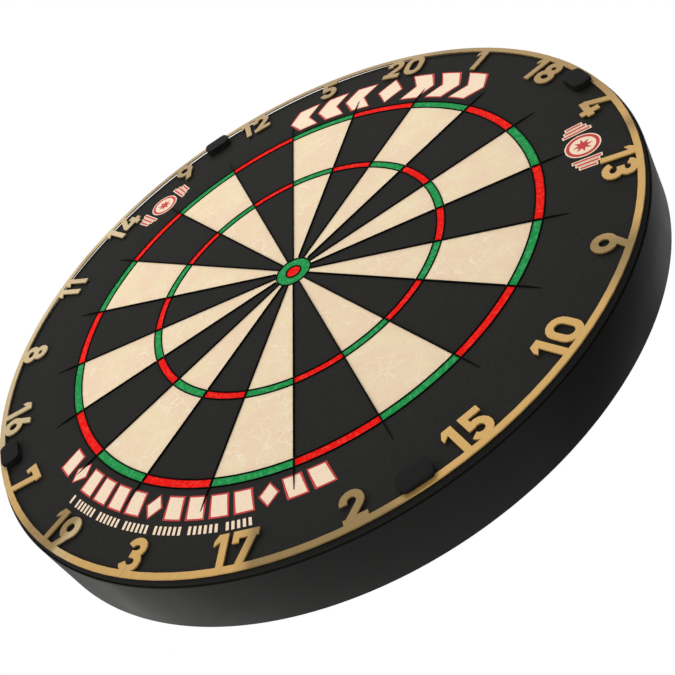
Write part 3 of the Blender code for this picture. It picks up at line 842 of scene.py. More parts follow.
# Raw fibreboard: warm brown and quite matt, with short fibres every way
BACK_FIBRE = Fibreboard("raw pressed fibreboard", "#B3936A", 0.85)
# Screen ink: flatter and a little glossier than the sisal that it lies on
INK_CREAM = ScreenInk("cream screen ink", "#EBD4BA", 0.7, specular=0.3)
INK_RED = ScreenInk("red screen ink", "#BC2A2C", 0.7, specular=0.3)


# ---------------------------------------------------------------- board

@dataclass
class BoardBody:
    """The pressed disc: outer margin with its shoulder, and the coloured fields let into it.

    Attributes:
        face: The playing face's Y.
        flat_radius: Where the face starts to round over.
        shoulder_radius: Radius of that rounding.
        bull_inner: Outside of the inner bull.
        bull_outer: Outside of the outer bull.
        treble: Inner and outer edge of the treble ring.
        double: Inner and outer edge of the double ring.
        wire: Thickness of every wire.
        ease: Room between a wire and the sisal beside it.
        pillow: How far the sisal swells back from its edges.
        field_depth: How deep the field blocks reach.
        fields: How many fields a ring has.
        pole: Radius of the hair-thin core at the axis.
        screw_hole: Radius of the hanging screw's hole.
        screw_reach: How far behind the face that hole ends.
        broken_edge: Width of the fibreboard's sanded edges.
        band_wall: Thickness of the band's sheet.
        band_lip: How far its back edge is folded in.
        band_fold: Radius of that fold.
        band_roll: Radius of its other corners.
    """

    face: float = -49.9 * MM
    flat_radius: float = 219.5 * MM
    shoulder_radius: float = 15.8 * MM
    bull_inner: float = 5.0 * MM
    bull_outer: float = 12.1 * MM
    treble: tuple[float, float] = (100.1 * MM, 104.9 * MM)
    double: tuple[float, float] = (162.7 * MM, 168.1 * MM)
    wire: float = 0.6 * MM
    ease: float = 0.04 * MM
    pillow: float = 0.45 * MM
    field_depth: float = 1.2 * MM
    fields: int = 20
    pole: float = 0.001 * MM
    screw_hole: float = 2.8 * MM
    screw_reach: float = 18.6 * MM
    broken_edge: float = 0.4 * MM
    band_wall: float = 1.0 * MM
    band_lip: float = 6.0 * MM
    band_fold: float = 0.8 * MM
    band_roll: float = 0.45 * MM

    def swell(self, distance: np.ndarray) -> np.ndarray:
        """How far the sisal lies behind the face: a quarter circle within the pillow's width.

        Args:
            distance: Distance from the nearest edge.

        Returns:
            Drop behind the face.
        """
        near = np.clip(1 - distance / self.pillow, 0, 1)
        return 0.6 * self.pillow * (1 - np.sqrt(1 - near ** 2))

    def steps(self, length: float, inner: int) -> np.ndarray:
        """Places along a length: close together in the pillow at both ends, even between.

        Args:
            length: The whole length.
            inner: Even steps between the pillows.

        Returns:
            The places, from 0 to the length.
        """
        edge = self.pillow * np.array([0.0, 0.08, 0.3, 0.6, 1.0])
        middle = np.linspace(self.pillow, length - self.pillow, inner)[1:-1]
        return np.concatenate([edge, middle, (length - edge)[::-1]])

    def field(self, index: int, low: float, high: float, rows: int, columns: int) -> Shape:
        """One field between two blades and two radii.

        The surface point at radius r and cross place u, from -1 to 1, has the turn
        t = index/20 of a turn + u (half a field - the blade's half thickness seen from the
        axis, asin(h / r)), and lies swell(distance to the nearest edge) behind the face.

        Args:
            index: Which of the twenty fields, clockwise from the 20.
            low: Inner radius.
            high: Outer radius.
            rows: Even steps along the radius.
            columns: Even steps across.

        Returns:
            The field as a closed block.
        """
        half = self.wire / 2 + self.ease
        radius = (low + self.steps(high - low, rows))[:, None]
        width = 2 * low * math.sin(math.pi / self.fields) - 2 * half
        across = (2 * self.steps(width, columns) / width - 1)[None, :]
        reach = math.pi / self.fields - np.arcsin(half / radius)
        turn = index * TURN / self.fields + across * reach
        sideways = radius * (1 - np.abs(across)) * reach
        distance = np.minimum(np.minimum(radius - low, high - radius), sideways)
        flat = np.stack([radius * np.sin(turn), 0 * turn, radius * np.cos(turn)], -1)
        top = flat + np.stack([0 * turn, self.face + self.swell(distance), 0 * turn], -1)
        bottom = flat + np.array([0, self.face + self.field_depth, 0])
        return slab(top, bottom)

    def spans(self) -> dict[str, tuple[float, float, int, int]]:
        """Where each ring of fields lies between its wires.

        Returns:
            For each ring its inner and outer radius and its grid's steps along and across.
        """
        gap = self.wire + self.ease
        return {"inner": (self.bull_outer + gap, self.treble[0] - gap, 12, 8),
                "treble": (self.treble[0] + self.ease, self.treble[1] - self.ease, 5, 24),
                "outer": (self.treble[1] + gap, self.double[0] - gap, 10, 12),
                "double": (self.double[0] + self.ease, self.double[1] - self.ease, 5, 36)}

    def build_fields(self) -> None:
        """The black and the cream singles and the red and green trebles and doubles."""
        spans = self.spans()
        looks = (("black_singles", ("inner", "outer"), 0, SISAL_BLACK),
                 ("cream_singles", ("inner", "outer"), 1, SISAL_CREAM),
                 ("red_trebles_and_doubles", ("treble", "double"), 0, SISAL_RED),
                 ("green_trebles_and_doubles", ("treble", "double"), 1, SISAL_GREEN))
        for name, rings, first, finish in looks:
            blocks = [self.field(index, *spans[ring]) for ring in rings
                      for index in range(first, self.fields, 2)]
            add_shape(name, join(blocks), finish, Ride.BOARD.value, ["sisal_block"])

    def disc(self, low: float, high: float) -> list[Point]:
        """Profile of a round block with a swollen face.

        Args:
            low: Its inner radius.
            high: Its outer radius.

        Returns:
            The profile, closed by its last step.
        """
        steps = self.steps(high - low, 4)
        drop = self.swell(np.minimum(steps if low > 0 else high, high - low - steps))
        face = list(zip((low + steps).tolist(), (self.face + drop).tolist()))
        back = self.face + self.field_depth
        return face + [(high, back), (low, back)]

    def build_bull(self) -> None:
        """The red inner bull and the green outer bull."""
        inner = turned(self.disc(self.pole, self.bull_inner - self.ease), 96)
        gap = self.wire + self.ease
        outer = turned(self.disc(self.bull_inner + gap, self.bull_outer - self.ease), 128)
        add_shape("red_inner_bull", inner, SISAL_RED, Ride.BOARD.value, ["sisal_block"])
        add_shape("green_outer_bull", outer, SISAL_GREEN, Ride.BOARD.value, ["sisal_block"])

    def build_margin(self) -> None:
        """The black disc under the fields, with the margin for the numbers and the shoulder."""
        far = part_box("sisal_block")[1]
        start = self.double[1] + self.wire + self.ease
        ledge = self.face + 0.8 * self.field_depth
        within = start + 20 * MM
        screw_end = self.face + self.screw_reach
        sweep = math.asin((far.x - self.flat_radius) / self.shoulder_radius)
        turns = np.linspace(0, sweep, 14)
        shoulder = zip((self.flat_radius + self.shoulder_radius * np.sin(turns)).tolist(),
                       (self.face + self.shoulder_radius * (1 - np.cos(turns))).tolist())
        profile = [(self.pole, ledge), (start, ledge)]
        profile += quarter((start, self.face + self.pillow), (start + self.pillow, self.face),
                           (start, self.face))
        profile += [(within, self.face)] + list(shoulder)
        profile += [(far.x, far.y), (self.screw_hole, far.y), (self.screw_hole, screw_end),
                    (self.pole, screw_end)]
        add_shape("sisal_margin", turned(profile, 360), SISAL_BLACK, Ride.BOARD.value,
                  ["sisal_block"])

    def build_back(self) -> None:
        """The fibreboard disc, with its two edges broken by sandpaper."""
        low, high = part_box("back_board")
        edge = self.broken_edge
        hole = self.screw_hole
        profile = [(hole, low.y), (high.x - edge, low.y), (high.x, low.y + edge), (high.x, high.y - edge),
                   (high.x - edge, high.y), (hole + edge, high.y), (hole, high.y - edge)]
        add_shape("fibre_back", turned(profile, 256), BACK_FIBRE, Ride.BOARD.value, ["back_board"])

    def build_band(self) -> None:
        """The steel band: a turned shell with a rolled front edge and a folded back edge."""
        low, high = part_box("rim_band")
        outer = high.x
        inner = outer - self.band_wall
        lip = outer - self.band_lip
        roll = self.band_roll
        fold = self.band_fold
        behind = high.y - self.band_wall
        profile = [(inner, behind), (inner, low.y + roll)]
        profile += quarter((inner, low.y + roll), (inner + roll, low.y), (inner, low.y))
        profile += quarter((outer - roll, low.y), (outer, low.y + roll), (outer, low.y))
        profile += quarter((outer, high.y - fold), (outer - fold, high.y), (outer, high.y), 6)
        profile += quarter((lip + roll, high.y), (lip, high.y - roll), (lip, high.y))
        profile += [(lip, behind)]
        add_shape("steel_band", turned(profile, 384), BAND_LACQUER, Ride.BOARD.value, ["rim_band"])

    def build(self) -> None:
        """Every piece of the board's body."""
        self.build_margin()
        self.build_fields()
        self.build_bull()
        self.build_back()
        self.build_band()


@dataclass
class Wires:
    """Ring wires as fine rounded hoops, and the blades' finish.

    Attributes:
        body: The board that they lie in.
        top: How far they stand proud of the face.
        sunk: How far the hoops sink between the fields.
    """

    body: BoardBody
    top: float = 0.6 * MM
    sunk: float = 0.5 * MM

    def hoop(self, radius: float, segments: int) -> Shape:
        """A wire hoop with a round top, carried round the axis.

        Args:
            radius: Inner radius of the wire.
            segments: Steps round the board.

        Returns:
            The hoop.
        """
        face = self.body.face
        outer = radius + self.body.wire
        middle = (radius + outer) / 2
        crown = face - self.top
        side = crown + self.body.wire / 2
        profile = quarter((radius, side), (middle, crown), (radius, crown))
        profile += quarter((middle, crown), (outer, side), (outer, crown))[1:]
        profile += [(outer, face + self.sunk), (radius, face + self.sunk)]
        return turned(profile, segments)

    def build(self) -> None:
        """Six hoops, and the finish of the twenty blades."""
        body = self.body
        hoops = (("treble_inner", body.treble[0] - body.wire, 288), ("treble_outer", body.treble[1], 288),
                 ("double_inner", body.double[0] - body.wire, 360), ("double_outer", body.double[1], 360),
                 ("bull_inner", body.bull_inner, 64), ("bull_outer", body.bull_outer, 96))
        for name, radius, segments in hoops:
            add_shape(name + "_hoop", self.hoop(radius, segments), WIRE_BLACK, Ride.BOARD.value,
                      [name + "_wire"])
        blades = [node for name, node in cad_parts.items() if name.startswith("radial_blade")]
        for blade in blades:
            blade.data.materials.clear()
            blade.data.materials.append(WIRE_BLACK.material())
        LOG.info("blades: %d dressed", len(blades))


# ---------------------------------------------------------------- print

class Figure(Enum):
    """Plain ornaments of the screen print."""

    BAR = "bar"
    CHEVRON = "chevron"
    DIAMOND = "diamond"


@dataclass
class Print:
    """Screen print on the margin: generic bars, chevrons and diamonds in cream with a red rim.

    Attributes:
        face: The playing face's Y.
        rim: Width of the red rim.
        red_height: How far the red ink stands on the face.
        cream_height: How far the cream ink stands on the face.
        backing: How far every print reaches into the sisal.
        top_span: Inner and outer radius of the top band.
        top_middle: Turn of its middle, degrees.
        diamond_width: Width of the diamond there.
        chevron_first: Turn from the middle to the first chevron, degrees.
        chevron_pitch: Turn from one chevron to the next, degrees.
        chevron_width: A chevron's width.
        chevron_lean: How far its point runs ahead.
        bottom_span: Inner and outer radius of the bottom band.
        bar_first: Turn of its first bar, degrees.
        bar_pitch: Turn from one bar to the next, degrees.
        bar_width: A bar's width.
        bar_lean: How far its outer end runs ahead.
        line_span: Inner and outer radius of the fine line.
        tick_first: Turn of its first tick, degrees.
        tick_pitch: Turn from one tick to the next, degrees.
        tick_width: A tick's width.
        tick_lean: How far its outer end runs ahead.
        badge_turns: Turns of the two badges, degrees.
        badge_radius: Radius on which they lie.
    """

    face: float
    rim: float = 1.1 * MM
    red_height: float = 0.04 * MM
    cream_height: float = 0.08 * MM
    backing: float = 0.05 * MM
    top_span: Point = (174.5 * MM, 200.0 * MM)
    top_middle: float = -1.0
    diamond_width: float = 19.0 * MM
    chevron_first: float = 7.0
    chevron_pitch: float = 7.3
    chevron_width: float = 14.5 * MM
    chevron_lean: float = 8.0 * MM
    bottom_span: Point = (174.5 * MM, 188.5 * MM)
    bar_first: float = 148.0
    bar_pitch: float = 4.85
    bar_width: float = 10.2 * MM
    bar_lean: float = -4.0 * MM
    line_span: Point = (193.2 * MM, 198.6 * MM)
    tick_first: float = 160.5
    tick_pitch: float = 1.02
    tick_width: float = 1.9 * MM
    tick_lean: float = -1.2 * MM
    badge_turns: tuple[float, float] = (63.0, 297.0)
    badge_radius: float = 195.0 * MM

    def patch(self, figure: Figure, turn: float, span: Point, width: float, lean: float,
              grow: float, height: float) -> Shape:
        """One ornament as a thin plate.

        With s and t from 0 to 1 across and up, the point's radius runs from one end of the
        span to the other, and its turn is the middle's plus (s - 1/2) times the width plus a
        shift: lean (t - 1/2) for a bar, lean (1 - |2 t - 1|) for a chevron, and none for a
        diamond, whose width shrinks with |2 t - 1|.

        Args:
            figure: Which ornament.
            turn: Clockwise turn of its middle.
            span: Its inner and outer radius.
            width: Its width in metres at the middle radius.
            lean: Its shift in metres.
            grow: How much it grows on every side, for the rim.
            height: How far it stands on the face.

        Returns:
            The plate.
        """
        middle = (span[0] + span[1]) / 2
        across = np.linspace(0, 1, 9)[:, None]
        up = np.linspace(0, 1, 13)[None, :]
        peak = 1 - np.abs(2 * up - 1)
        rise = lean / (span[1] - span[0])
        slope = math.hypot(1, 2 * rise if figure is Figure.CHEVRON else rise)
        widths = (width + 2 * grow * slope) * np.ones_like(peak)
        shift = lean * (up - 0.5)
        low, high = span[0] - grow, span[1] + grow
        if figure is Figure.CHEVRON:
            shift = lean * peak
        if figure is Figure.DIAMOND:
            widths = (width + 2.6 * grow) * np.maximum(peak, 0.01)
            low, high = span[0] - 1.2 * grow, span[1] + 1.2 * grow
        radius = low + (high - low) * up + 0 * across
        angle = turn + ((across - 0.5) * widths + shift) / middle
        top = np.stack([radius * np.sin(angle), self.face - height + 0 * angle, radius * np.cos(angle)], -1)
        bottom = top + np.array([0, height + self.backing, 0])
        return slab(top, bottom)

    def rimmed(self, figure: Figure, turn: float, span: Point, width: float,
               lean: float) -> tuple[Shape, Shape]:
        """An ornament in cream, and its larger red shape below it.

        Args:
            figure: Which ornament.
            turn: Clockwise turn of its middle.
            span: Its inner and outer radius.
            width: Its width.
            lean: Its shift.

        Returns:
            The cream plate and the red one.
        """
        cream = self.patch(figure, turn, span, width, lean, 0.0, self.cream_height)
        red = self.patch(figure, turn, span, width, lean, self.rim, self.red_height)
        return cream, red

    def disc(self, turn: float, radius: float, inner: float, outer: float, height: float) -> Shape:
        """A flat ring, or a disc where inner is 0, round a centre on the margin.

        Args:
            turn: Clockwise turn of the centre.
            radius: The centre's distance from the axis.
            inner: The ring's inner radius.
            outer: Its outer radius.
            height: How far it stands on the face.

        Returns:
            The ring.
        """
        back = self.face + self.backing
        front = self.face - height
        hole = max(inner, ON_AXIS)
        ring = turned([(hole, front), (outer, front), (outer, back), (hole, back)], 48)
        return ring.moved(z=radius).turned_by(turn)

    def star(self, turn: float, radius: float, reach: float, points: int, height: float) -> Shape:
        """A plain star: its edge's radius alternates between the reach and 0.45 of it.

        Args:
            turn: Clockwise turn of its centre.
            radius: The centre's distance from the axis.
            reach: From its centre to a point.
            points: How many points it has.
            height: How far it stands on the face.

        Returns:
            The star.
        """
        spoke = np.arange(2 * points) / (2 * points) * TURN
        edge = np.where(np.arange(2 * points) % 2 == 0, reach, 0.45 * reach)
        rows = np.array([self.face - height, self.face + self.backing])[:, None]
        sideways, upward = edge * np.sin(spoke), edge * np.cos(spoke)
        rings = np.stack([sideways + 0 * rows, rows + 0 * spoke, upward + 0 * rows], -1)
        return loft(rings).moved(z=radius).turned_by(turn)

    def build_bands(self) -> None:
        """The top band, the bottom band and the fine line below it."""
        pairs = [self.rimmed(Figure.DIAMOND, math.radians(self.top_middle), self.top_span,
                             self.diamond_width, 0)]
        for step in range(3):
            for side in (-1, 1):
                offset = side * (self.chevron_first + self.chevron_pitch * step)
                pairs.append(self.rimmed(Figure.CHEVRON, math.radians(self.top_middle + offset),
                                         self.top_span, self.chevron_width, side * self.chevron_lean))
        for step in range(14):
            turn = math.radians(self.bar_first + self.bar_pitch * step)
            figure = Figure.DIAMOND if step % 5 == 2 else Figure.BAR
            lean = self.bar_lean if figure is Figure.BAR else 0
            pairs.append(self.rimmed(figure, turn, self.bottom_span, self.bar_width, lean))
        ticks = [self.patch(Figure.BAR, math.radians(self.tick_first + self.tick_pitch * step),
                            self.line_span, self.tick_width, self.tick_lean, 0.0, self.red_height)
                 for step in range(42) if step % 7 != 5]
        add_shape("print_red_rims", join([red for _, red in pairs]), INK_RED, Ride.BOARD.value)
        add_shape("print_cream_figures", join([cream for cream, _ in pairs]), INK_CREAM, Ride.BOARD.value)
        add_shape("print_fine_line", join(ticks), INK_CREAM, Ride.BOARD.value)

    def build_badges(self) -> None:
        """Two plain roundels with a star, each between a pair of striped side bars."""
        centre = self.badge_radius
        ground, ring_inner, ring_outer, reach = 11.2 * MM, 8.2 * MM, 10.3 * MM, 6.4 * MM
        first, pitch, longest, shorter = 15.0 * MM, 3.4 * MM, 8.5 * MM, 1.8 * MM
        stripe_width, stripe_rim = 1.5 * MM, 0.8 * MM
        cream: list[Shape] = []
        red: list[Shape] = []
        for degrees in self.badge_turns:
            turn = math.radians(degrees)
            cream.append(self.disc(turn, centre, 0.0, ground, self.red_height))
            red.append(self.disc(turn, centre, ring_inner, ring_outer, self.cream_height))
            red.append(self.star(turn, centre, reach, 8, self.cream_height))
            for side in (-1, 1):
                for stripe in range(3):
                    place = turn + side * (first + pitch * stripe) / centre
                    half = longest - shorter * stripe
                    span = (centre - half, centre + half)
                    red.append(self.patch(Figure.BAR, place, span, stripe_width, 0, 0.0, self.cream_height))
                    cream.append(self.patch(Figure.BAR, place, span, stripe_width, 0, stripe_rim,
                                            self.red_height))
        add_shape("print_badge_grounds", join(cream), INK_CREAM, Ride.BOARD.value)
        add_shape("print_badge_marks", join(red), INK_RED, Ride.BOARD.value)

    def build(self) -> None:
        """All of the print."""
        self.build_bands()
        self.build_badges()


# ---------------------------------------------------------------- number ring and holders

@dataclass
class NumberRing:
    """The gold ring with its figures, cut as one from sheet steel.

    Attributes:
        edge: Width of the broken edges.
    """

    edge: float = 0.16 * MM

    def build(self) -> None:
        """The frame's own plate with its edges broken and a brushed finish."""
        ring = place_piece("gold_number_ring", merged_copy("number_ring"), GOLD, Ride.NUMBERS.value,
                           ["number_ring"])
        soften(ring, self.edge)


HOLDERS = 4


@dataclass
class MagnetHolder:
    """One ribbed plastic cap with its magnet, and the steel seat under it.

    Attributes:
        number: Its number in the frame, from 1.
        face: The playing face's Y.
        centre: The cap's centre from the board's axis.
        radius: The cap's radius.
        half_depth: Where its inner and outer side are cut flat.
        top: Its height over the face.
        foot: The gap under it.
        step: Height of the underside where it lies over the number ring.
        step_from: How far out from its centre that step starts.
        magnet_shift: The magnet's centre from the cap's.
        ribs: How many ribs the cap has.
        rib: Their depth.
        lower_rib: Their depth inside the number ring.
        pocket: Radius of the magnet's pocket.
        magnet_radius: The magnet's radius.
        magnet_ends: Its front and its back from the face.
        seat_radius: Radius of the seat's plate.
        seat_thick: How deep the plate reaches.
        seat_proud: How far it stands proud.
        spike_radius: Radius of the seat's spike.
        spike_straight: How deep the spike is straight.
        spike_end: How deep its point reaches.
        broken_edge: Width of the magnet's and the seat's broken edges.
    """

    number: int
    face: float
    centre: float = 217.4 * MM
    radius: float = 10.4 * MM
    half_depth: float = 6.6 * MM
    top: float = 4.8 * MM
    foot: float = 0.3 * MM
    step: float = 2.25 * MM
    step_from: float = 4.35 * MM
    magnet_shift: float = -0.9 * MM
    ribs: int = 40
    rib: float = 0.22 * MM
    lower_rib: float = 0.12 * MM
    pocket: float = 4.3 * MM
    magnet_radius: float = 4.0 * MM
    magnet_ends: Point = (-2.7 * MM, -0.4 * MM)
    seat_radius: float = 5.0 * MM
    seat_thick: float = 1.2 * MM
    seat_proud: float = 0.06 * MM
    spike_radius: float = 1.0 * MM
    spike_straight: float = 6.0 * MM
    spike_end: float = 9.0 * MM
    broken_edge: float = 0.25 * MM

    @property
    def turn(self) -> float:
        """Clockwise turn of this holder."""
        return math.radians(45) + (self.number - 1) * TURN / HOLDERS

    def outline(self, count: int, rib: float) -> np.ndarray:
        """The cap's plan: a circle cut flat on two sides, with upright ribs.

        In polar form about its centre, at angle a, the edge lies at (R^-n + (d / |sin a|)^-n)^(-1/n), a
        soft minimum of the radius R and the flat's distance d over the sine, less a rib
        depth that swings with the turn.

        Args:
            count: Points round the edge.
            rib: Depth of the ribs.

        Returns:
            Points as (x, z) rows.
        """
        turn = np.arange(count) / count * TURN
        power = 14
        flat = self.half_depth / np.maximum(np.abs(np.sin(turn)), 1e-3)
        edge = (self.radius ** -power + flat ** -power) ** (-1 / power)
        edge = edge - rib * (0.5 + 0.5 * np.cos(self.ribs * turn))
        return np.stack([edge * np.cos(turn), edge * np.sin(turn)], -1)

    def upper(self) -> Shape:
        """The cap above the step: ribbed wall, rounded edge and flat top.

        Returns:
            The upper part, with its front towards -Y.
        """
        step, top = self.step, self.top
        rows = ((step, 0.2 * MM, 1.0), (step + 0.3 * MM, 0.0, 1.0), (top - 0.6 * MM, 0.0, 1.0),
                (top - 0.42 * MM, 0.02 * MM, 0.4), (top - 0.2 * MM, 0.12 * MM, 0.0),
                (top - 0.06 * MM, 0.27 * MM, 0.0), (top, 0.5 * MM, 0.0), (top, 3.0 * MM, 0.0))
        rings = []
        for height, inset, ribbed in rows:
            plan = self.outline(320, self.rib * ribbed)
            reach = np.linalg.norm(plan, axis=1, keepdims=True)
            plan = plan * (reach - inset) / reach
            rings.append(np.stack([plan[:, 0], np.full(len(plan), -height), plan[:, 1]], -1))
        return loft(np.stack(rings))

    def lower(self) -> Shape:
        """The cap inside the number ring: a wall round the magnet's pocket.

        Returns:
            The lower part, which reaches a little into the upper one.
        """
        plan = self.outline(320, self.lower_rib)
        plan[:, 1] = np.minimum(plan[:, 1], self.step_from)
        turn = np.arctan2(plan[:, 1] - self.magnet_shift, plan[:, 0])
        hole = np.stack([self.pocket * np.cos(turn), self.magnet_shift + self.pocket * np.sin(turn)], -1)
        inside = -(self.step + 0.4 * MM)
        rim = -self.foot - 0.2 * MM
        inset = 0.03 * hole + 0.97 * plan
        rows = ((hole, inside), (hole, -self.foot), (inset, -self.foot), (plan, rim), (plan, inside))
        rings = [np.stack([edge[:, 0], np.full(len(edge), y), edge[:, 1]], -1) for edge, y in rows]
        return loft(np.stack(rings), closed=True)

    def magnet(self) -> Shape:
        """The disc magnet, with its edges broken.

        Returns:
            The disc round its own axis.
        """
        edge, wide = self.broken_edge, self.magnet_radius
        front, back = self.magnet_ends
        profile = [(ON_AXIS, front), (wide - edge, front), (wide, front + edge), (wide, back - edge),
                   (wide - edge, back), (ON_AXIS, back)]
        return turned(profile, 64)

    def seat(self) -> Shape:
        """The steel seat: a thin plate with a spike behind it.

        Returns:
            The seat round its own axis.
        """
        edge, wide, spike = self.broken_edge, self.seat_radius, self.spike_radius
        front, back = -self.seat_proud, self.seat_thick
        profile = [(ON_AXIS, front), (wide - edge, front), (wide, front + edge), (wide, back), (spike, back),
                   (spike, self.spike_straight), (ON_AXIS, self.spike_end)]
        return turned(profile, 64)

    def placed(self, shape: Shape, radius: float) -> Shape:
        """A shape drawn round its own axis, moved to this holder at a radius."""
        return shape.moved(y=self.face, z=radius).turned_by(self.turn)

    def build(self) -> None:
        """The cap and the magnet on the cap's body, and the seat on the board."""
        body = f"cap_{self.number}"
        under = self.centre + self.magnet_shift
        cap = self.placed(join([self.upper(), self.lower()]), self.centre)
        magnet = self.placed(self.magnet(), under)
        seat = self.placed(self.seat(), under)
        add_shape(f"ribbed_cap_{self.number}", cap, CAP_PLASTIC, body,
                  [f"magnet_cap_{self.number}"], math.radians(50))
        add_shape(f"disc_magnet_{self.number}", magnet, NICKEL, body,
                  [f"holder_magnet_{self.number}"])
        add_shape(f"spiked_seat_{self.number}", seat, ZINC, Ride.BOARD.value,
                  [f"magnet_seat_{self.number}"])


# ---------------------------------------------------------------- hanging hardware

@dataclass
class PanScrew:
    """A pan-head wood screw with a cross recess and a cut thread.

    Attributes:
        head_radius: The head's radius.
        head_height: Its height.
        shank: The shank's radius.
        length: From the head's underside to the tip.
        plain: Length of the smooth shank under the head.
        pitch: Distance between the thread's turns.
        cut: The thread's depth.
        tip: Length of the pointed tip.
        sag: How far the dome falls at its edge, as a share of the head's height.
        slot: Half the cross slot's width, as a share of the head's radius.
        slot_reach: Its length from the middle, as the same share.
        slot_depth: Its depth, as a share of the head's height.
    """

    head_radius: float
    head_height: float
    shank: float
    length: float
    plain: float
    pitch: float = 1.6 * MM
    cut: float = 0.45 * MM
    tip: float = 4.0 * MM
    sag: float = 0.35
    slot: float = 0.15
    slot_reach: float = 0.56
    slot_depth: float = 0.55

    def head(self) -> Shape:
        """The head: a dome whose height falls by a cross-shaped well.

        At radius r the dome's height is h (1 - sag (r / R)^4), less a well whose depth fades
        out over a short wall just inside half the slot's width and its length.

        Returns:
            The head with its underside at Y = 0.
        """
        shares = np.array([0.02, 0.08, 0.12, 0.16, 0.2, 0.3, 0.4, 0.48, 0.52, 0.58, 0.7, 0.85, 0.95, 1.0])
        radius = (self.head_radius * shares)[:, None]
        turn = (np.arange(96) / 96 * TURN)[None, :]
        x, z = radius * np.sin(turn), radius * np.cos(turn)
        narrow = np.minimum(np.abs(x), np.abs(z)) / self.head_radius
        far = np.maximum(np.abs(x), np.abs(z)) / self.head_radius
        side_wall, end_wall = 0.06, 0.12
        well = np.clip((self.slot - narrow) / side_wall, 0, 1)
        well = well * np.clip((self.slot_reach - far) / end_wall, 0, 1)
        dome = self.head_height * (1 - self.sag * (radius / self.head_radius) ** 4)
        height = dome - self.slot_depth * self.head_height * well
        top = np.stack([x, height, z], -1)[::-1]
        base = np.stack([x[-1], 0 * x[-1], z[-1]], -1)[None]
        return loft(np.concatenate([base, top]))

    def thread(self) -> Shape:
        """The shank: its radius swings with the turn and the depth, as one helix.

        At depth d and turn t the surface lies at r - cut (1 - |2 f - 1|), where f is the
        fraction of d / pitch + t / one turn. The swing grows from nothing below the plain
        part, and the radius falls evenly to the point over the tip's length.

        Returns:
            The shank, from just inside the head to its tip.
        """
        depth = np.linspace(-0.1 * MM, self.length, int(self.length / self.pitch * 10))[:, None]
        turn = (np.arange(48) / 48 * TURN)[None, :]
        phase = (depth / self.pitch + turn / TURN) % 1.0
        swing = self.cut * (1 - np.abs(2 * phase - 1)) * np.clip((depth - self.plain) / self.pitch, 0, 1)
        point = np.clip((self.length - depth) / self.tip, 0.04, 1)
        radius = (self.shank - swing) * point
        rings = np.stack([radius * np.sin(turn), -depth + 0 * turn, radius * np.cos(turn)], -1)
        return loft(rings)

    def shape(self) -> Shape:
        """The screw with its head towards +Y and its underside at Y = 0."""
        return join([self.head(), self.thread()])


@dataclass
class Hanging:
    """The bracket on the wall, its four screws, the board's own screw and the rubber feet.

    Attributes:
        screw_x: The wall screws' distance to each side.
        screw_heights: Their heights.
        plate: Thickness of the bracket's plate.
        foot_radius: Radius of a rubber foot.
        foot_centre: The feet's distance from the axis.
        foot_taper: How much narrower a foot is at its back.
        foot_edge: Radius of its rolled edge.
        foot_cup: Depth of the cup in its back.
        broken_edge: Width of the bracket's broken edges.
    """

    screw_x: float = 28.0 * MM
    screw_heights: tuple[float, float] = (24.0 * MM, -40.0 * MM)
    plate: float = 1.5 * MM
    foot_radius: float = 9.0 * MM
    foot_centre: float = 188.0 * MM
    foot_taper: float = 1.5 * MM
    foot_edge: float = 0.8 * MM
    foot_cup: float = 0.7 * MM
    broken_edge: float = 0.25 * MM

    def build_bracket(self) -> None:
        """The pressed bracket with its edges broken."""
        bracket = place_piece("pressed_bracket", merged_copy("wall_bracket"), BRACKET_COAT,
                              Ride.BRACKET.value, ["wall_bracket"])
        soften(bracket, self.broken_edge)

    def build_screws(self) -> None:
        """Four wall screws, heads to the front, and the hanging screw with its head to the back."""
        wall = PanScrew(head_radius=4.2 * MM, head_height=1.8 * MM, shank=2.0 * MM, length=26.8 * MM,
                        plain=6.0 * MM, tip=6.0 * MM).shape()
        flip = Shape(wall.points * np.array([1, -1, 1]), wall.blocks)
        seat = -self.plate - 0.3 * MM
        places = [(side * self.screw_x, z) for z in self.screw_heights for side in (-1, 1)]
        for index, (x, z) in enumerate(places):
            name = f"wall_screw_{index + 1}"
            add_shape("cross_" + name, flip.moved(x=x, y=seat, z=z), ZINC, Ride.BRACKET.value,
                      [name])
        low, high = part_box("hanging_screw")
        head = 2.6 * MM
        neck = high.y - head
        screw = PanScrew(head_radius=5.0 * MM, head_height=head, shank=2.5 * MM, length=neck - low.y,
                         plain=5.5 * MM).shape()
        add_shape("cross_hanging_screw", screw.moved(y=neck), ZINC, Ride.BOARD.value,
                  ["hanging_screw"])

    def build_feet(self) -> None:
        """Three rubber feet: a low cone with a rolled edge and a shallow cup."""
        low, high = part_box("rubber_foot_1")
        edge = self.foot_edge
        wide = self.foot_radius - self.foot_taper
        cup = high.y - self.foot_cup
        profile = [(ON_AXIS, low.y), (self.foot_radius, low.y), (wide + 0.15 * MM, high.y - edge)]
        profile += quarter((wide, high.y - edge), (wide - edge, high.y), (wide, high.y))
        profile += [(0.62 * wide, high.y), (0.5 * wide, cup), (ON_AXIS, cup)]
        foot = turned(profile, 72).moved(z=self.foot_centre)
        for index in range(3):
            name = f"rubber_foot_{index + 1}"
            add_shape("moulded_" + name, foot.turned_by(index * TURN / 3), FOOT_RUBBER, Ride.BOARD.value,
                      [name])

    def build(self) -> None:
        """All of the hardware behind the board."""
        self.build_bracket()
        self.build_screws()
        self.build_feet()


# ---------------------------------------------------------------- studio

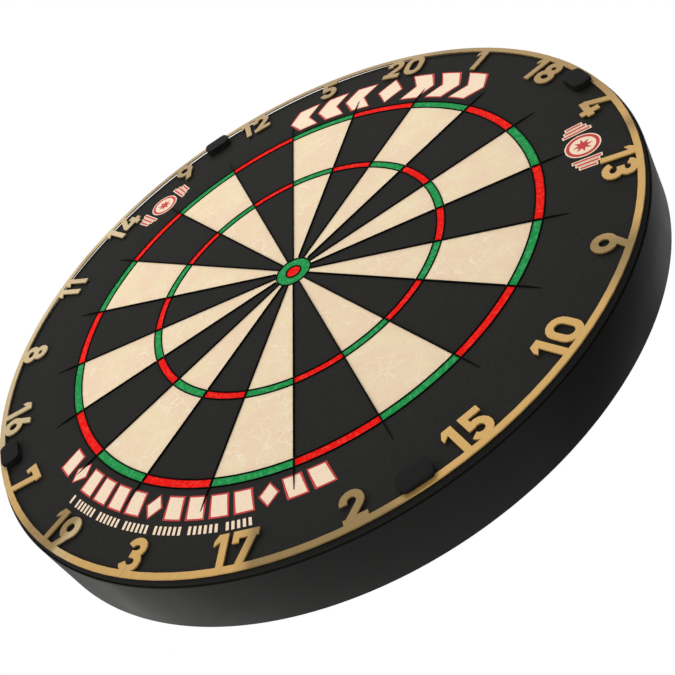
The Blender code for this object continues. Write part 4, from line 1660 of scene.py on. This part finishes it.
@dataclass(frozen=True)
class SoftLight:
    """A square soft light that faces the board.

    Attributes:
        name: The light's name.
        direction: From the board to the light.
        distance: How far away it stands, m.
        size: Its side, m.
        power: In watts.
        tint: Its colour, as sRGB hex.
    """

    name: str
    direction: tuple[float, float, float]
    distance: float
    size: float
    power: float
    tint: str = "#FFFFFF"

    def build(self) -> None:
        """The light, in place and out of the camera's sight."""
        data = bpy.data.lights.new(self.name, "AREA")
        data.shape = "SQUARE"
        data.size = self.size
        data.energy = self.power
        data.color = linear(self.tint)[:3]
        light = bpy.data.objects.new(self.name, data)
        way = Vector(self.direction).normalized()
        facing = way.to_track_quat("Z", "Y").to_matrix().to_4x4()
        light.matrix_world = Matrix.Translation(way * self.distance) @ facing
        light.visible_camera = False
        bpy.context.scene.collection.objects.link(light)


FULL_FRAME = 36.0  # width of the camera's sensor, mm

# A large key from the upper left, a weak fill below it, and three behind for the band's sheen
LIGHTS = (SoftLight("key", (-0.57, -0.57, 0.60), 2.0, 1.6, 32.5, "#FFFCF7"),
          SoftLight("low_fill", (-0.75, -0.5, -0.45), 1.5, 0.9, 4.8),
          SoftLight("top_back", (0.17, 0.62, 0.74), 1.4, 1.3, 2.1),
          SoftLight("left_back", (-0.60, 0.67, -0.45), 1.4, 0.9, 0.5),
          SoftLight("straight_back", (0.25, 1.0, 0.35), 2.0, 0.8, 1.5))


@dataclass
class Studio:
    """Camera, soft lights, floor and a plain white surround.

    Attributes:
        aim: The point that the camera looks at, on the playing face.
        distance: From that point to the camera.
        azimuth: Degrees from straight on towards the player's right.
        elevation: Degrees above the board's axis; below it here.
        roll: Degrees that the camera is turned about its own axis.
        lens: Focal length in mm on a 36 mm sensor.
        floor: Height of the floor, m.
        floor_half: Half its side, m.
        ambient: Brightness of the surround as a light.
        mirrored: Its brightness in reflections.
        overhead: Strength of the light straight above, W per square metre.
    """

    aim: tuple[float, float, float] = (62.4 * MM, -49.9 * MM, -59.0 * MM)
    distance: float = 617.7 * MM
    azimuth: float = 44.87
    elevation: float = -33.26
    roll: float = 26.57
    lens: float = 57.08
    floor: float = -1.3
    floor_half: float = 60.0
    ambient: float = 0.4
    mirrored: float = 0.13
    overhead: float = 1.2

    def build_camera(self) -> None:
        """A camera on a circle round the aim: turned by azimuth, elevation and roll."""
        data = bpy.data.cameras.new("camera")
        data.lens = self.lens
        data.sensor_width = FULL_FRAME
        data.clip_start = 10 * MM
        camera = bpy.data.objects.new("camera", data)
        turn = Matrix.Rotation(math.radians(self.azimuth), 4, "Z")
        turn @= Matrix.Rotation(math.radians(90 - self.elevation), 4, "X")
        turn @= Matrix.Rotation(math.radians(self.roll), 4, "Z")
        camera.matrix_world = Matrix.Translation(self.aim) @ turn @ Matrix.Translation((0, 0, self.distance))
        bpy.context.scene.collection.objects.link(camera)
        bpy.context.scene.camera = camera

    def build_overhead(self) -> None:
        """A broad light straight above: it brightens the floor and hardly touches the upright face."""
        data = bpy.data.lights.new("overhead", "SUN")
        data.energy = self.overhead
        data.angle = math.radians(20)
        light = bpy.data.objects.new("overhead", data)
        light.visible_camera = False
        bpy.context.scene.collection.objects.link(light)

    def build_world(self) -> None:
        """A surround that looks white, lights the board softly and is dim in its reflections."""
        world = bpy.data.worlds.new("surround")
        world.use_nodes = True
        tree = world.node_tree
        path = add_node(tree, "LightPath")
        light = spread(tree, path.outputs["Is Glossy Ray"], 0.0, 1.0, self.ambient, self.mirrored)
        level = add_node(tree, "MapRange", {"Value": path.outputs["Is Camera Ray"], "To Min": light})
        tree.links.new(level.outputs["Result"], tree.nodes["Background"].inputs["Strength"])
        tree.nodes["Background"].inputs["Color"].default_value = linear("#FFFFFF")
        bpy.context.scene.world = world

    def build_floor(self) -> None:
        """A plain pale floor, well below the board."""
        half = self.floor_half
        mesh = bpy.data.meshes.new("floor")
        corners = [(x * half, y * half, self.floor) for x, y in ((-1, -1), (1, -1), (1, 1), (-1, 1))]
        mesh.from_pydata(corners, [], [(0, 1, 2, 3)])
        mesh.materials.append(Finish("pale studio floor", "#F4F3F0", 0.9).material())
        floor = bpy.data.objects.new("floor", mesh)
        bpy.context.scene.collection.objects.link(floor)

    def build(self) -> None:
        """The whole studio."""
        bpy.context.scene.view_settings.view_transform = "Standard"
        self.build_camera()
        self.build_world()
        self.build_floor()
        self.build_overhead()
        for light in LIGHTS:
            light.build()


def main() -> None:
    """Build the studio and every sub-assembly in order."""
    logging.basicConfig(level=logging.INFO, format="%(name)s %(message)s")
    Studio().build()
    body = BoardBody()
    body.build()
    Wires(body).build()
    Print(body.face).build()
    NumberRing().build()
    for number in range(1, HOLDERS + 1):
        MagnetHolder(number, body.face).build()
    Hanging().build()


if __name__ == "__main__":
    main()
